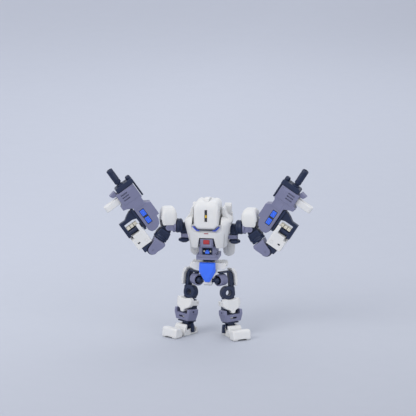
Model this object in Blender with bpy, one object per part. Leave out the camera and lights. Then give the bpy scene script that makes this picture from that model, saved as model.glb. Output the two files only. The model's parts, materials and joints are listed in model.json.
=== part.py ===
"""Poseable humanoid robot kit with a cockpit torso, two hand-held blasters and articulated legs.

Blender 4.5. Shapes are worked in millimetres in the frame of their own joint, then scaled to metres.
The robot faces -Y and stands on Z = 0. Side +1 is its left half (+X), side -1 mirrors it.
"""

import math

import bmesh
import bpy
from mathutils import Matrix, Vector

MM = 0.001
GAP = 0.3  # clearance between neighbouring pieces
RUNNING = 0.22  # radial clearance of a pin in its bore
ROUND = 18  # sides of a visible round shape
FINE = 10  # sides of a small pin or bore
SIDES = {"left": 1, "right": -1}

# Heights above the floor
HIP_Z = 31.5
WAIST_Z = 42.9
BEND_Z = WAIST_Z + 2.0  # the waist's cross pin, origin of the torso
SHOULDER_Z = 61.2
CHIN_Z = 61.7
HATCH_TOP_Z = 77.2
HATCH_PIN = (0.5, 76.2)  # canopy hinge, depth and height
TO_TORSO = (0.0, 0.0, -BEND_Z)  # from heights above the floor to the torso's and the canopy's own frames
TO_HATCH = (0.0, -HATCH_PIN[0], -HATCH_PIN[1])
KNEE_DROP = 13.4  # hip barrel centre to knee pin
ROLL_DROP = 13.6  # knee pin to ankle roll pin
PITCH_DROP = 15.9  # knee pin to ankle pitch pin
SOLE_DROP = 2.2  # ankle pitch pin to sole

# Pose that the kit is stored in, in degrees
BARREL_TOE_IN = 35.0
LEG_SPREAD = 7.0
FOOT_TURN = 34.0
ARM_POSE = {"left": (6.0, 52.5, 57.5), "right": (18.0, 54.0, 55.0)}  # forward, drop, blaster raise

# Hip
HIP_BALL = Vector((4.9, -4.0, HIP_Z))
BALL_TO_BARREL = 3.6
BARREL_RADIUS = 3.3
BARREL_FRONT = 3.0
BARREL_BACK = 2.2
BAR_IN = 4.3  # inner and outer faces of the thigh's side bar
BAR_OUT = 6.5
LEG_AXIS_X = 2.7  # leg axis, outboard of the thigh's turning pin
PIN = 1.0  # common pin radius
KNEE_EAR_X = 2.8
TOE_PIN = (-7.8, 1.15)  # depth from the ankle pin, height above the sole
GUARD_TOP = 4.1  # ankle guard above the ankle pin

# Arm, from the shoulder's upright pin outwards
SHOULDER_X = 13.9
SHOULDER_Y = 0.6
COLLAR_LOW = 54.6  # arm-pit block, underside and top
COLLAR_HIGH = 56.9
KNOB_LOW = 51.8
DRUM_OUT = 3.1
DRUM_RADIUS = 3.9
RAISE_OUT = 6.2  # drum centre to raising pin
RAISE_DOWN = -0.6
UPPER_ARM = 15.0
COLLAR_X = 5.5
COLLAR_END = 8.1
TONGUE = 1.5  # half thickness of a hinge tongue
CHEEK_IN = 1.85  # inner and outer faces of a hinge fork
CHEEK_OUT = 3.3

# Blaster, measured from the elbow pin: X towards the muzzle, Z towards the top rail
GRIP_X = 14.7
GRIP_RADIUS = 1.45
BORE_Z = 6.3
SLEEVE_END = 50.3
WRIST_Z = -1.6
FINGER_PIN = (11.2, 2.75)

# Boosters
BOOSTER_PIN = (11.0, 62.1)  # depth and height
POD_X = 9.0
POD_PIN = (0.2, -1.2)

COLOURS = {
    "white": ((0.80, 0.81, 0.83), 0.42),
    "grey": ((0.235, 0.235, 0.33), 0.48),
    "dark": ((0.022, 0.028, 0.045), 0.45),
    "blue": ((0.03, 0.14, 0.85), 0.35),
    "lens": ((0.02, 0.12, 0.80), 0.18),
    "eye": ((0.015, 0.015, 0.02), 0.20),
}


# ---------------------------------------------------------------- modelling tools


def clear_scene():
    for thing in list(bpy.data.objects):
        bpy.data.objects.remove(thing, do_unlink=True)


def colour_materials():
    materials = {}
    for name, (rgb, roughness) in COLOURS.items():
        material = bpy.data.materials.new(name)
        material.use_nodes = True
        shader = material.node_tree.nodes["Principled BSDF"]
        shader.inputs["Base Color"].default_value = (*rgb, 1.0)
        shader.inputs["Roughness"].default_value = roughness
        shader.inputs["Metallic"].default_value = 0.0
        materials[name] = material
    return materials


def shape_from(bm):
    """A working object in millimetres, its faces pointing out."""
    bmesh.ops.recalc_face_normals(bm, faces=bm.faces)
    mesh = bpy.data.meshes.new("shape")
    bm.to_mesh(mesh)
    bm.free()
    shape = bpy.data.objects.new("shape", mesh)
    bpy.context.scene.collection.objects.link(shape)
    return shape


def to_axes(axis, u, v, w):
    """u, v lie across the axis, in X, Y, Z order, and w runs along it."""
    return {"X": (w, u, v), "Y": (u, w, v), "Z": (u, v, w)}[axis]


def prism(axis, outline, span, bevel=0.0):
    bm = bmesh.new()
    low = [bm.verts.new(to_axes(axis, u, v, span[0])) for u, v in outline]
    face = bm.faces.new(low)
    grown = bmesh.ops.extrude_face_region(bm, geom=[face])["geom"]
    step = Vector(to_axes(axis, 0.0, 0.0, span[1] - span[0]))
    bmesh.ops.translate(bm, vec=step, verts=[g for g in grown if isinstance(g, bmesh.types.BMVert)])
    if bevel:
        bmesh.ops.recalc_face_normals(bm, faces=bm.faces)
        bmesh.ops.bevel(bm, geom=bm.edges[:], offset=bevel, segments=1, affect="EDGES")
    return shape_from(bm)


def block(x, y, z):
    """A box; each span may be given in either order."""
    outline = [(x[0], z[0]), (x[1], z[0]), (x[1], z[1]), (x[0], z[1])]
    return prism("Y", outline, y)


def across(side, near, far):
    """Both ends of a span on one side of the middle plane."""
    return (side * near, side * far)


def circle(centre, radius, sides, start=0.0, sweep=360.0):
    """Points of an arc; a full circle leaves out its repeated last point."""
    full = abs(sweep) >= 360.0
    steps = sides if full else sides + 1
    angles = [math.radians(start + sweep * i / sides) for i in range(steps)]
    return [(centre[0] + radius * math.cos(a), centre[1] + radius * math.sin(a)) for a in angles]


def lug(axis, centre, radius, reach, heading, span, steps=8):
    """A flat tongue: round about the centre, straight sides that reach off along the heading."""
    a = math.radians(heading)
    along = (reach * math.cos(a), reach * math.sin(a))
    outline = circle(centre, radius, steps, heading + 90.0, 180.0)
    first, last = outline[-1], outline[0]
    outline.append((first[0] + along[0], first[1] + along[1]))
    outline.append((last[0] + along[0], last[1] + along[1]))
    return prism(axis, outline, span)


def rod(axis, centre, radius, span, sides=ROUND):
    return prism(axis, circle(centre, radius, sides), span)


def turned(axis, centre, profile, sides=ROUND):
    """Revolves (radius, height) points about the axis; a zero radius closes the end on a point."""
    bm = bmesh.new()
    rings = []
    for radius, along in profile:
        if radius < 1e-6:
            rings.append([bm.verts.new(to_axes(axis, centre[0], centre[1], along))])
        else:
            points = circle(centre, radius, sides)
            rings.append([bm.verts.new(to_axes(axis, u, v, along)) for u, v in points])
    for low, high in zip(rings, rings[1:]):
        for i in range(sides):
            j = (i + 1) % sides
            corners = [low[i % len(low)], low[j % len(low)], high[j % len(high)], high[i % len(high)]]
            bm.faces.new(list(dict.fromkeys(corners)))
    for ring in (rings[0], rings[-1]):
        if len(ring) > 1:
            bm.faces.new(ring)
    return shape_from(bm)


def ball_profile(radius, centre=0.0, steps=8):
    angles = [math.pi * i / steps for i in range(steps + 1)]
    return [(radius * math.sin(a), centre - radius * math.cos(a)) for a in angles]


def loft(sections):
    """Joins closed rings of equal length with faces and caps both ends."""
    bm = bmesh.new()
    rings = [[bm.verts.new(p) for p in ring] for ring in sections]
    count = len(rings[0])
    for low, high in zip(rings, rings[1:]):
        for i in range(count):
            j = (i + 1) % count
            bm.faces.new((low[i], low[j], high[j], high[i]))
    bm.faces.new(rings[0])
    bm.faces.new(rings[-1])
    return shape_from(bm)


def combine(base, others, operation):
    for other in others:
        modifier = base.modifiers.new("combine", "BOOLEAN")
        modifier.operation = operation
        modifier.solver = "EXACT"
        modifier.object = other
        graph = bpy.context.evaluated_depsgraph_get()
        mesh = bpy.data.meshes.new_from_object(base.evaluated_get(graph))
        base.modifiers.clear()
        base.data = mesh
        bpy.data.objects.remove(other, do_unlink=True)
    return base


def join(base, *others):
    return combine(base, others, "UNION")


def cut(base, *others):
    return combine(base, others, "DIFFERENCE")


def keep(base, other):
    return combine(base, [other], "INTERSECT")


def turned_by(shape, axis, degrees, about=(0.0, 0.0, 0.0)):
    pivot = Matrix.Translation(Vector(about))
    shape.data.transform(pivot @ Matrix.Rotation(math.radians(degrees), 4, axis) @ pivot.inverted())
    return shape


def moved_by(shape, offset):
    shape.data.transform(Matrix.Translation(Vector(offset)))
    return shape


# ---------------------------------------------------------------- placing


def joint_frame(name, parent, at, turns=(), side=1):
    """An empty on a joint. turns is a list of (axis, degrees), applied in order, outermost first."""
    frame = bpy.data.objects.new(name, None)
    bpy.context.scene.collection.objects.link(frame)
    frame.empty_display_size = 2 * MM
    frame.parent = parent
    matrix = Matrix.Translation(Vector((at[0] * side, at[1], at[2])) * MM)
    for axis, degrees in turns:
        sign = 1 if axis == "X" else side
        matrix = matrix @ Matrix.Rotation(math.radians(sign * degrees), 4, axis)
    frame.matrix_local = matrix
    return frame


def finish_piece(shape, name, material, parent, side=1, smooth=35.0):
    """Scales a shape to metres, mirrors it for the right side, and hangs it on its joint's frame."""
    mesh = shape.data
    mesh.transform(Matrix.Diagonal((MM * side, MM, MM, 1.0)))
    if side < 0:
        mesh.flip_normals()
    mesh.materials.clear()
    mesh.materials.append(MATERIALS[material])
    mesh.shade_smooth()
    mesh.set_sharp_from_angle(angle=math.radians(smooth))
    shape.name = name
    mesh.name = name
    shape.parent = parent
    shape.matrix_local = Matrix.Identity(4)
    return shape


def stand_on_origin(root):
    """Puts the middle of the whole kit's underside on the world origin."""
    bpy.context.view_layer.update()
    corners = [o.matrix_world @ v.co for o in bpy.data.objects if o.type == "MESH" for v in o.data.vertices]
    low = Vector([min(c[i] for c in corners) for i in range(3)])
    high = Vector([max(c[i] for c in corners) for i in range(3)])
    root.location = Vector((-(low.x + high.x) / 2, -(low.y + high.y) / 2, -low.z))


# ---------------------------------------------------------------- pelvis and waist


def hip_bore(side):
    return rod("X", (HIP_BALL.y, HIP_Z), PIN + RUNNING, (side * 1.0, side * 4.0), FINE)


def pelvis_block(root):
    """White hip block with two side pads and a crotch that carries both hip pins."""
    body = block((-3.9, 3.9), (-5.2, 4.6), (34.9, 41.9))
    crotch = prism("X", [(-5.6, 29.6), (-3.6, 28.6), (2.0, 29.4), (3.4, 35.2), (-5.6, 35.2)], (-2.2, 2.2))
    join(body, crotch)
    for side in (1, -1):
        outline = [(3.4, 37.6), (8.6, 38.0), (10.1, 39.0), (9.9, 41.0), (9.0, 41.7), (3.4, 41.7)]
        pad = prism("Y", [(side * x, z) for x, z in outline], (-4.6, 4.2))
        join(body, pad)
        cut(body, hip_bore(side))
    cut(body, rod("Z", (0, 0), 1.9 + RUNNING, (38.2, 44.0), FINE))
    cut(body, block((-2.6, 2.6), (-6.5, -4.6), (38.4, 43.0)))
    finish_piece(body, "pelvis_block", "white", root)


def front_skirt(parent):
    """Blue shield that hangs in front of the hips from a lug under the waist. Origin on its hinge."""
    outline = [(-4.4, 0.9), (4.4, 0.9), (4.6, -4.2), (1.3, -10.0), (-1.3, -10.0), (-4.6, -4.2)]
    inset = [(x * 0.8, -3.8 + (z + 3.8) * 0.84) for x, z in outline]
    sections = ((1.2, outline), (-0.3, outline), (-1.4, inset))
    shield = loft([[(x, y, z) for x, z in ring] for y, ring in sections])
    join(shield, block((-1.9, 1.9), (0.4, 2.2), (-1.6, 0.5)))
    finish_piece(shield, "front_skirt", "blue", parent)


def waist_joint(parent):
    """Dark spindle: turns in the pelvis and carries the belly on a cross pin."""
    spindle = turned("Z", (0, 0), [(1.9, -3.9), (1.9, -0.7), (3.7, -0.7), (3.7, 0.5)])
    join(spindle, block((-1.6, 1.6), (-1.8, 1.8), (0.1, 3.4)), rod("X", (0.0, 2.0), PIN, (-3.0, 3.0), FINE))
    finish_piece(spindle, "waist_joint", "dark", parent)


def belly_block(parent):
    """Grey abdomen: a stepped front with an open bay, above a broad foot plate. Heights from the floor."""
    foot = block((-6.0, 6.0), (-8.2, 4.4), (43.9, 46.6))
    middle = block((-4.7, 4.7), (-7.2, 4.0), (46.0, 51.4))
    upper = prism("X", [(-10.4, 51.2), (-10.9, 52.2), (-10.2, 56.0), (-4.0, 56.0), (-4.0, 51.2)], (-3.5, 3.5))
    tail = block((-4.4, 4.4), (-5.0, 5.2), (50.8, 53.6))
    join(foot, middle, upper, tail)
    bay = block((-2.7, 2.7), (-12.0, -4.6), (46.9, 50.7))
    pocket = block((-1.9, 1.9), (-2.6, 2.6), (43.0, 47.7))
    cross_bore = rod("X", (0.0, BEND_Z), PIN + RUNNING, (-3.4, 3.4), FINE)
    badge_seat = block((-1.7, 1.7), (-12.0, -10.1), (53.2, 55.6))
    cut(foot, bay, pocket, cross_bore, badge_seat)
    finish_piece(moved_by(foot, TO_TORSO), "belly_block", "grey", parent)


# ---------------------------------------------------------------- torso


TORSO_SECTIONS = [  # height, half width, front, back
    (50.6, 9.8, -8.6, 6.4),
    (57.0, 11.3, -10.6, 7.6),
    (63.0, 12.7, -11.5, 8.0),
    (65.2, 13.1, -11.2, 8.0),
    (66.4, 12.3, -10.8, 7.8),
    (68.0, 9.6, -10.0, 7.4),
]


def torso_ring(height, half, front, back):
    """A rounded rectangle: fuller in front than behind."""
    ring = []
    for i in range(24):
        angle = math.radians(15.0 * i + 7.5)
        c, s = math.cos(angle), math.sin(angle)
        depth = back if s > 0 else -front
        x = half * math.copysign(math.sqrt(abs(c)), c)
        y = depth * math.copysign(math.sqrt(abs(s)), s)
        ring.append((x, y, height))
    return ring


def torso_body():
    return loft([torso_ring(*section) for section in TORSO_SECTIONS])


def hatch_outline(grow):
    """The canopy seen from the front: a rounded top and chamfered bottom corners."""
    half = 7.2 + grow
    low = CHIN_Z - grow
    chamfer = 2.2 + grow * 0.4
    points = [(-half + chamfer, low), (half - chamfer, low), (half, low + chamfer)]
    top = HATCH_TOP_Z + grow
    radius = 3.0
    points += circle((half - radius, top - radius), radius, 5, 0.0, 90.0)
    points += circle((-half + radius, top - radius), radius, 5, 90.0, 90.0)
    points.append((-half, low + chamfer))
    return points


def shoulder_recess(side):
    """Space in the flank for the shoulder's upright pin and its yoke."""
    outline = [(10.7, -3.6), (15.5, -5.2), (15.5, 6.2), (10.7, 4.6)]
    return prism("Z", [(side * x, y) for x, y in outline], (48.0, 63.6))


def torso_front_shell(parent):
    """White front of the torso: canopy well, cockpit tub, belly notch and shoulder recesses."""
    shell = keep(torso_body(), block((-20.0, 20.0), (-20.0, 1.2), (40.0, 80.0)))
    floor = CHIN_Z - GAP
    well = prism("Y", [(x, max(z, floor)) for x, z in hatch_outline(1.15)], (-20.0, 5.0))
    lip_seat = block((-8.35, 8.35), (-20.0, -10.4), (59.9, 64.2))
    tub = block((-5.2, 5.2), (-8.2, -0.8), (57.0, 64.0))
    notch = prism("Y", [(-4.0, 56.5), (4.0, 56.5), (5.6, 48.0), (-5.6, 48.0)], (-20.0, -3.6))
    inside = block((-5.4, 5.4), (-4.2, 8.0), (48.0, 54.2))
    cut(shell, well, lip_seat, tub, notch, inside, shoulder_recess(1), shoulder_recess(-1))
    finish_piece(moved_by(shell, TO_TORSO), "torso_front_shell", "white", parent)


def torso_back_shell(parent):
    """White back of the torso, with a headrest behind the canopy and a spine pack for the boosters."""
    shell = keep(torso_body(), block((-20.0, 20.0), (1.5, 20.0), (40.0, 80.0)))
    front = 1.5
    corner = 1.2
    rings = []
    for z, half, back in ((60.0, 6.9, 6.6), (71.0, 6.7, 6.2), (74.2, 6.0, 5.2), (75.6, 4.6, 3.8)):
        right = [(half, front), (half, back - corner), (half - corner, back)]
        left = [(-x, y) for x, y in reversed(right)]
        rings.append([(x, y, z) for x, y in right + left])
    headrest = loft(rings)
    for s in (-3.1, 3.1):
        join(headrest, lug("X", HATCH_PIN, 0.8, 2.2, -38.0, (s - 0.4, s + 0.4)))
    cut(headrest, rod("X", HATCH_PIN, 0.35 + RUNNING, (-5.0, 5.0), FINE))
    pack = block((-5.6, 5.6), (5.0, 9.2), (54.0, 68.0))
    hinge_lug = block((-2.4, 2.4), (8.0, 12.9), (60.2, 64.0))
    inside = block((-5.4, 5.4), (-4.2, 5.6), (48.0, 54.2))
    join(shell, headrest, pack, hinge_lug)
    cut(shell, inside, shoulder_recess(1), shoulder_recess(-1))
    cut(shell, rod("X", BOOSTER_PIN, PIN + RUNNING, (-4.0, 4.0), FINE))
    finish_piece(moved_by(shell, TO_TORSO), "torso_back_shell", "white", parent)


def canopy_hatch(parent):
    """White canopy over the cockpit, hollow underneath, with a crest and a slot for its sensor."""
    sections = ((0.9, 0.0), (-10.7, 0.0), (-11.9, -0.6), (-12.3, -1.5))
    hatch = loft([[(x, y, z) for x, z in hatch_outline(grow)] for y, grow in sections])
    cut(hatch, prism("X", [(-14.0, 72.6), (-6.0, 79.0), (-14.0, 79.0)], (-10.0, 10.0)))
    crest = [(-9.9, 74.0), (-9.4, 77.0), (-7.6, 78.4), (-2.0, 78.6), (0.5, 77.6), (0.5, 74.0)]
    join(hatch, prism("X", crest, (-1.35, 1.35)))
    inside = [(-5.2, 60.0), (5.2, 60.0), (5.4, 70.5), (3.6, 73.6), (-3.6, 73.6), (-5.4, 70.5)]
    cut(hatch, prism("Y", inside, (-10.2, -0.9)), block((-0.75, 0.75), (-14.0, -11.0), (66.0, 72.6)))
    for s in (-3.1, 3.1):
        cut(hatch, block((s - 0.65, s + 0.65), (-0.7, 2.0), (74.6, 80.0)))
        join(hatch, rod("X", HATCH_PIN, 0.35, (s - 0.8, s + 0.8), FINE))
    finish_piece(moved_by(hatch, TO_HATCH), "canopy_hatch", "white", parent)


def hatch_sensor(parent):
    bar = block((-0.45, 0.45), (-12.1, -11.3), (66.3, 72.3))
    finish_piece(moved_by(bar, TO_HATCH), "hatch_sensor", "eye", parent)


def chin_trim(parent):
    """Blue lip that follows the canopy's lower edge."""
    lip = prism("Y", hatch_outline(0.95), (-12.0, -10.75))
    cut(lip, prism("Y", hatch_outline(0.3), (-14.0, -8.0)))
    keep(lip, block((-9.0, 9.0), (-13.0, -10.0), (55.0, CHIN_Z + 2.1)))
    finish_piece(moved_by(lip, TO_TORSO), "chin_trim", "blue", parent)


def booster_frame(parent):
    """White twin posts on a cross bar, hinged on the spine pack. Origin on the hinge."""
    bar = block((-9.8, 9.8), (-1.5, 2.9), (-2.2, 1.8))
    for side in (1, -1):
        outline = [(-1.9, -1.6), (2.3, -1.6), (2.3, 7.2), (1.2, 10.4), (-1.0, 10.4), (-1.9, 9.0)]
        post = prism("X", outline, across(side, 7.0, 10.8), 0.55)
        join(bar, post, block(across(side, 6.6, 11.4), (-1.7, 2.1), (1.0, 5.2)))
    slot = block((-2.75, 2.75), (-4.0, 2.2), (-3.0, 3.0))
    cut(bar, slot)
    bridge = block((-4.6, 4.6), (2.5, 3.7), (-2.0, 1.6))
    join(bar, bridge, rod("X", (0.0, 0.0), PIN, (-3.5, 3.5), FINE))
    for side in (1, -1):
        pod_x = side * POD_X
        cut(bar, block((pod_x - 1.15, pod_x + 1.15), (-3.0, 4.5), (-3.0, 0.3)))
        join(bar, rod("X", POD_PIN, 0.7, (pod_x - 1.6, pod_x + 1.6), FINE))
    finish_piece(bar, "booster_frame", "white", parent)


def booster_pod(parent, name):
    """Round-ended pod that hangs from the cross bar by a lug. Origin on its pin."""
    profile = [(0.0, -18.6), (1.7, -18.3), (2.9, -17.2), (3.4, -15.4)]
    profile += [(3.4, -9.0), (2.7, -6.2), (1.4, -5.0), (0.0, -4.8)]
    pod = turned("Z", (0.3, 0.6), profile)
    join(pod, lug("X", (0.0, 0.0), 1.15, 6.0, 270.0, (-0.8, 0.8)))
    cut(pod, rod("X", (0.0, 0.0), 0.9, (-2.0, 2.0), FINE))
    return finish_piece(pod, name, "white", parent)


# ---------------------------------------------------------------- shoulder and arm


def shoulder_collar(parent, name, side):
    """Grey arm-pit block, fixed to the torso, that carries the upright shoulder pin."""
    at = (SHOULDER_X, SHOULDER_Y)
    collar = block((9.9, SHOULDER_X), (SHOULDER_Y - 2.0, SHOULDER_Y + 2.0), (COLLAR_LOW, COLLAR_HIGH))
    join(collar, rod("Z", at, 2.0, (COLLAR_LOW, COLLAR_HIGH)))
    cut(collar, rod("Z", at, 1.2 + RUNNING, (50.0, 60.0), FINE))
    cut(collar, block((5.0, 10.75), (-5.0, 6.0), (50.0, 60.0)))
    finish_piece(moved_by(collar, TO_TORSO), name, "grey", parent, side)


def shoulder_yoke(parent, name, side):
    """Dark yoke: upright pin with a six-sided foot knob below and the shoulder drum on top.
    Origin on the upright pin, level with the drum's centre."""
    pin_low = KNOB_LOW - SHOULDER_Z
    knob_top = COLLAR_LOW - GAP - SHOULDER_Z
    neck_low = COLLAR_HIGH + GAP - SHOULDER_Z
    yoke = rod("X", (0.0, 0.0), DRUM_RADIUS, (DRUM_OUT - 1.9, DRUM_OUT + 1.8))
    outline = [(-2.2, neck_low), (2.2, neck_low), (2.2, 0.6), (1.4, 1.6), (-1.4, 1.6), (-2.2, 0.6)]
    neck = prism("X", outline, (-1.9, 2.6))
    join(yoke, neck, rod("Z", (0, 0), 1.2, (pin_low + 1.0, neck_low + 0.7), FINE))
    profile = [(1.6, pin_low), (3.3, pin_low + 0.9), (3.3, knob_top - 0.6), (2.3, knob_top)]
    knob = turned("Z", (0.2, 0), profile, 6)
    join(yoke, knob)
    cut(yoke, rod("X", (0.0, 0.0), 1.3 + RUNNING, (DRUM_OUT - 3.0, DRUM_OUT + 4.0), FINE))
    finish_piece(yoke, name, "dark", parent, side)


def arm_bracket(parent, name, side):
    """Grey clevis: turns on the drum's axis and holds the upper arm. Origin at the drum's centre."""
    plate = rod("X", (0.0, 0.0), 3.6, (2.1, 3.4))
    outline = [(2.6, 3.0), (2.6, -2.6)] + circle((RAISE_OUT, RAISE_DOWN), 1.65, 8, -110.0, 190.0)
    join(plate, prism("Y", outline, (-3.0, 3.0)))
    cut(plate, block((3.4, 12.0), (-CHEEK_IN, CHEEK_IN), (-6.0, 6.0)))
    join(plate, rod("X", (0.0, 0.0), 1.3, (-2.1, 2.6), FINE))
    join(plate, rod("Y", (RAISE_OUT, RAISE_DOWN), PIN, (-2.4, 2.4), FINE))
    join(plate, block((2.35, 3.25), (-0.9, 0.9), (2.8, 5.8)))
    finish_piece(plate, name, "grey", parent, side)


PAD_CORNER = 2.3
PAD_SECTIONS = [  # height, inner, outer, front, back
    (-2.4, 3.6, 8.8, -1.6, 5.9),
    (0.2, 2.2, 10.0, -3.2, 6.3),
    (4.2, 1.4, 10.4, -3.8, 6.5),
    (7.4, 1.7, 9.9, -3.3, 6.2),
    (9.6, 3.0, 8.9, -2.0, 4.9),
    (10.6, 4.2, 7.6, 0.0, 3.2),
]


def shoulder_pad(parent, name, side):
    """White faceted dome over the shoulder, deeper behind, socketed on the bracket's post.
    Origin at the drum's centre."""
    rings = []
    for z, x0, x1, y0, y1 in PAD_SECTIONS:
        c = min(PAD_CORNER, (x1 - x0) * 0.3, (y1 - y0) * 0.3)
        rings.append([(x0 + c, y0, z), (x1 - c, y0, z), (x1, y0 + c, z), (x1, y1 - c, z),
                      (x1 - c, y1, z), (x0 + c, y1, z), (x0, y1 - c, z), (x0, y0 + c, z)])
    pad = loft(rings)
    cut(pad, block((0.0, 12.0), (-6.0, 4.2), (-4.0, 4.0)), block((2.05, 3.55), (-1.2, 1.2), (3.0, 6.1)))
    finish_piece(pad, name, "white", parent, side)


def upper_arm(parent, name, side):
    """Dark upper arm: hinge tongue, flared block and round collar. X along the arm from the raising pin."""
    tongue = lug("Y", (0.0, 0.0), 2.4, 2.0, 0.0, (-TONGUE, TONGUE), 10)
    inside = COLLAR_X + 0.4
    flare = prism("Y", [(0.9, -2.6), (inside, -3.9), (inside, 3.9), (2.6, 3.5), (0.9, 2.6)], (-1.3, 1.3))
    body = prism("Y", [(2.2, -3.0), (inside, -3.7), (inside, 3.7), (3.0, 3.4), (2.2, 2.8)], (-3.0, 3.0))
    collar = rod("X", (0.0, 0.0), 4.05, (COLLAR_X, COLLAR_END))
    join(tongue, flare, body, collar)
    cut(tongue, rod("Y", (0.0, 0.0), PIN + RUNNING, (-4.0, 4.0), FINE))
    cut(tongue, rod("X", (0.0, 0.0), 1.3 + RUNNING, (4.4, 12.0), FINE))
    finish_piece(tongue, name, "dark", parent, side)


def elbow_housing(parent, name, side):
    """Grey elbow fork: its peg turns in the collar, its cheeks hold the forearm.
    X along the arm from the raising pin."""
    start = COLLAR_END + GAP
    outline = [(start + 2.0, 2.5), (start, 3.2), (start, -3.9), (start + 1.2, -4.3), (start + 3.0, -3.9)]
    outline += circle((UPPER_ARM, 0.0), 2.6, 10, -95.0, 190.0)
    fork = prism("Y", outline, (-3.6, 3.6))
    cut(fork, block((UPPER_ARM - 3.35, UPPER_ARM + 6.0), (-CHEEK_IN, CHEEK_IN), (-6.0, 6.0)))
    join(fork, rod("X", (0.0, 0.0), 1.3, (4.8, start + 1.0), FINE))
    join(fork, rod("Y", (UPPER_ARM, 0.0), PIN, (-2.4, 2.4), FINE))
    finish_piece(fork, name, "grey", parent, side)


def forearm_core(parent, name, side):
    """Dark forearm: a round tongue in the elbow fork and a broad wrist end.
    Origin on the elbow pin, X to the muzzle."""
    tongue = rod("Y", (0.0, 0.0), 3.1, (-TONGUE, TONGUE))
    inner = circle((0.0, 0.0), 3.15, 8, -66.0, 76.0)
    wrist = prism("Y", [(4.3, 1.0), (4.3, -4.4), (1.4, -4.4)] + inner, (-3.2, 3.2))
    join(tongue, block((0.0, 4.0), (-TONGUE, TONGUE), (-2.7, 0.9)), wrist)
    cut(tongue, rod("Y", (0.0, 0.0), PIN + RUNNING, (-4.0, 4.0), FINE))
    cut(tongue, rod("X", (0.0, WRIST_Z), 1.15 + RUNNING, (1.9, 8.0), FINE))
    finish_piece(tongue, name, "dark", parent, side)


def palm(parent, name, side):
    """White palm and thumb behind the grip, with ears for the fingers' pin. Elbow frame coordinates."""
    back = block((4.6, 9.4), (-3.5, 3.5), (-6.4, 2.6))
    front = block((8.6, 12.95), (-3.5, 1.5), (-4.6, 2.6))
    heel = block((8.6, 11.0), (-3.5, 1.5), (-6.4, -4.0))
    thumb = block((12.2, 17.0), (-3.5, -1.8), (0.3, 2.4))
    join(back, front, heel, thumb)
    for low, high in ((2.0, 2.6), (-6.4, -5.1)):
        join(back, block((8.8, FINGER_PIN[0] + 0.9), (1.4, 3.5), (low, high)))
    join(back, rod("Z", FINGER_PIN, 0.45, (-5.6, 2.3), FINE))
    join(back, rod("X", (0.0, WRIST_Z), 1.15, (2.3, 5.2), FINE))
    finish_piece(moved_by(back, (-4.6, 0.0, -WRIST_Z)), name, "white", parent, side)


def fingers(parent, name, side):
    """White curled fingers: hinged behind the grip, they reach round its far side. Origin on their pin."""
    x0, y0 = FINGER_PIN
    span = (-4.8, 1.7)
    inside = [(x0, 1.95), (14.0, 1.95), (16.6, 1.75), (16.6, -1.2)]
    plan = inside + [(18.2, -1.2), (18.2, 2.6), (17.2, 3.6), (x0, 3.6)]
    curl = join(prism("Z", plan, span), rod("Z", FINGER_PIN, 0.85, span, 14))
    cut(curl, rod("Z", FINGER_PIN, 0.6, (-8.0, 8.0), FINE))
    for low in (-2.75, -0.65):
        cut(curl, block((15.0, 19.0), (-2.0, 1.0), (low, low + 0.3)))
    finish_piece(moved_by(curl, (-x0, -y0, 0.0)), name, "white", parent, side)


def gun_receiver(parent, name, side):
    """Grey receiver of the blaster: vented front, humped rear with a long lens pocket on both flanks."""
    below = [(37.0, 12.5), (37.0, 1.1), (30.4, 1.1), (29.6, -0.4), (27.6, -0.4), (27.2, 1.4), (25.6, 4.6)]
    rear = [(10.6, 4.6), (8.8, 5.7), (8.3, 7.8), (8.8, 9.8), (10.2, 11.6), (12.4, 12.7), (14.5, 12.9)]
    above = [(14.7, 14.6), (22.8, 14.6), (24.6, 11.8), (27.8, 11.8), (28.3, 12.5)]
    body = prism("Y", below + rear + above, (-3.1, 3.1))
    for face in (-1, 1):
        outside = across(face, 2.5, 5.0)
        cut(body, block((13.3, 22.5), outside, (6.2, 9.3)))
        for x in (31.4, 33.0, 34.6):
            cut(body, block((x, x + 0.75), outside, (3.1, 7.2)))
    brow = prism("Y", [(37.0, 2.2), (39.0, 1.6), (38.2, -2.0), (36.4, -1.0), (35.9, 1.5)], (-1.6, 2.6))
    join(body, brow)
    cut(body, block((31.0, 35.3), (-1.75, 3.05), (-3.0, 3.6)))
    cut(body, block((12.0, 24.0), (-1.2, 1.2), (4.0, 5.2)))
    finish_piece(moved_by(body, (-GRIP_X, 0.0, 0.0)), name, "grey", parent, side)


def gun_muzzle(parent, name, side):
    """Dark front end: face plate, top rail, lamp tube, barrel neck and sleeve."""
    outline = [(37.3, 2.6), (39.4, 2.6), (40.0, 3.4), (40.0, 13.0), (39.4, 13.8), (37.3, 13.8)]
    plate = prism("Y", outline, (-3.3, 3.3))
    rail = block((28.2, 38.0), (-1.5, 1.5), (12.8, 13.8))
    lamp = rod("X", (0.0, 12.2), 1.5, (38.5, 42.0), 14)
    neck = rod("X", (0.0, BORE_Z), 1.25, (39.5, 42.0), FINE)
    sleeve = rod("X", (0.0, BORE_Z), 1.85, (41.4, SLEEVE_END))
    join(plate, rail, lamp, neck, sleeve)
    cut(plate, rod("X", (0.0, BORE_Z), 0.95, (SLEEVE_END - 2.3, SLEEVE_END + 1.0), FINE))
    finish_piece(moved_by(plate, (-GRIP_X, 0.0, 0.0)), name, "dark", parent, side)


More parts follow.
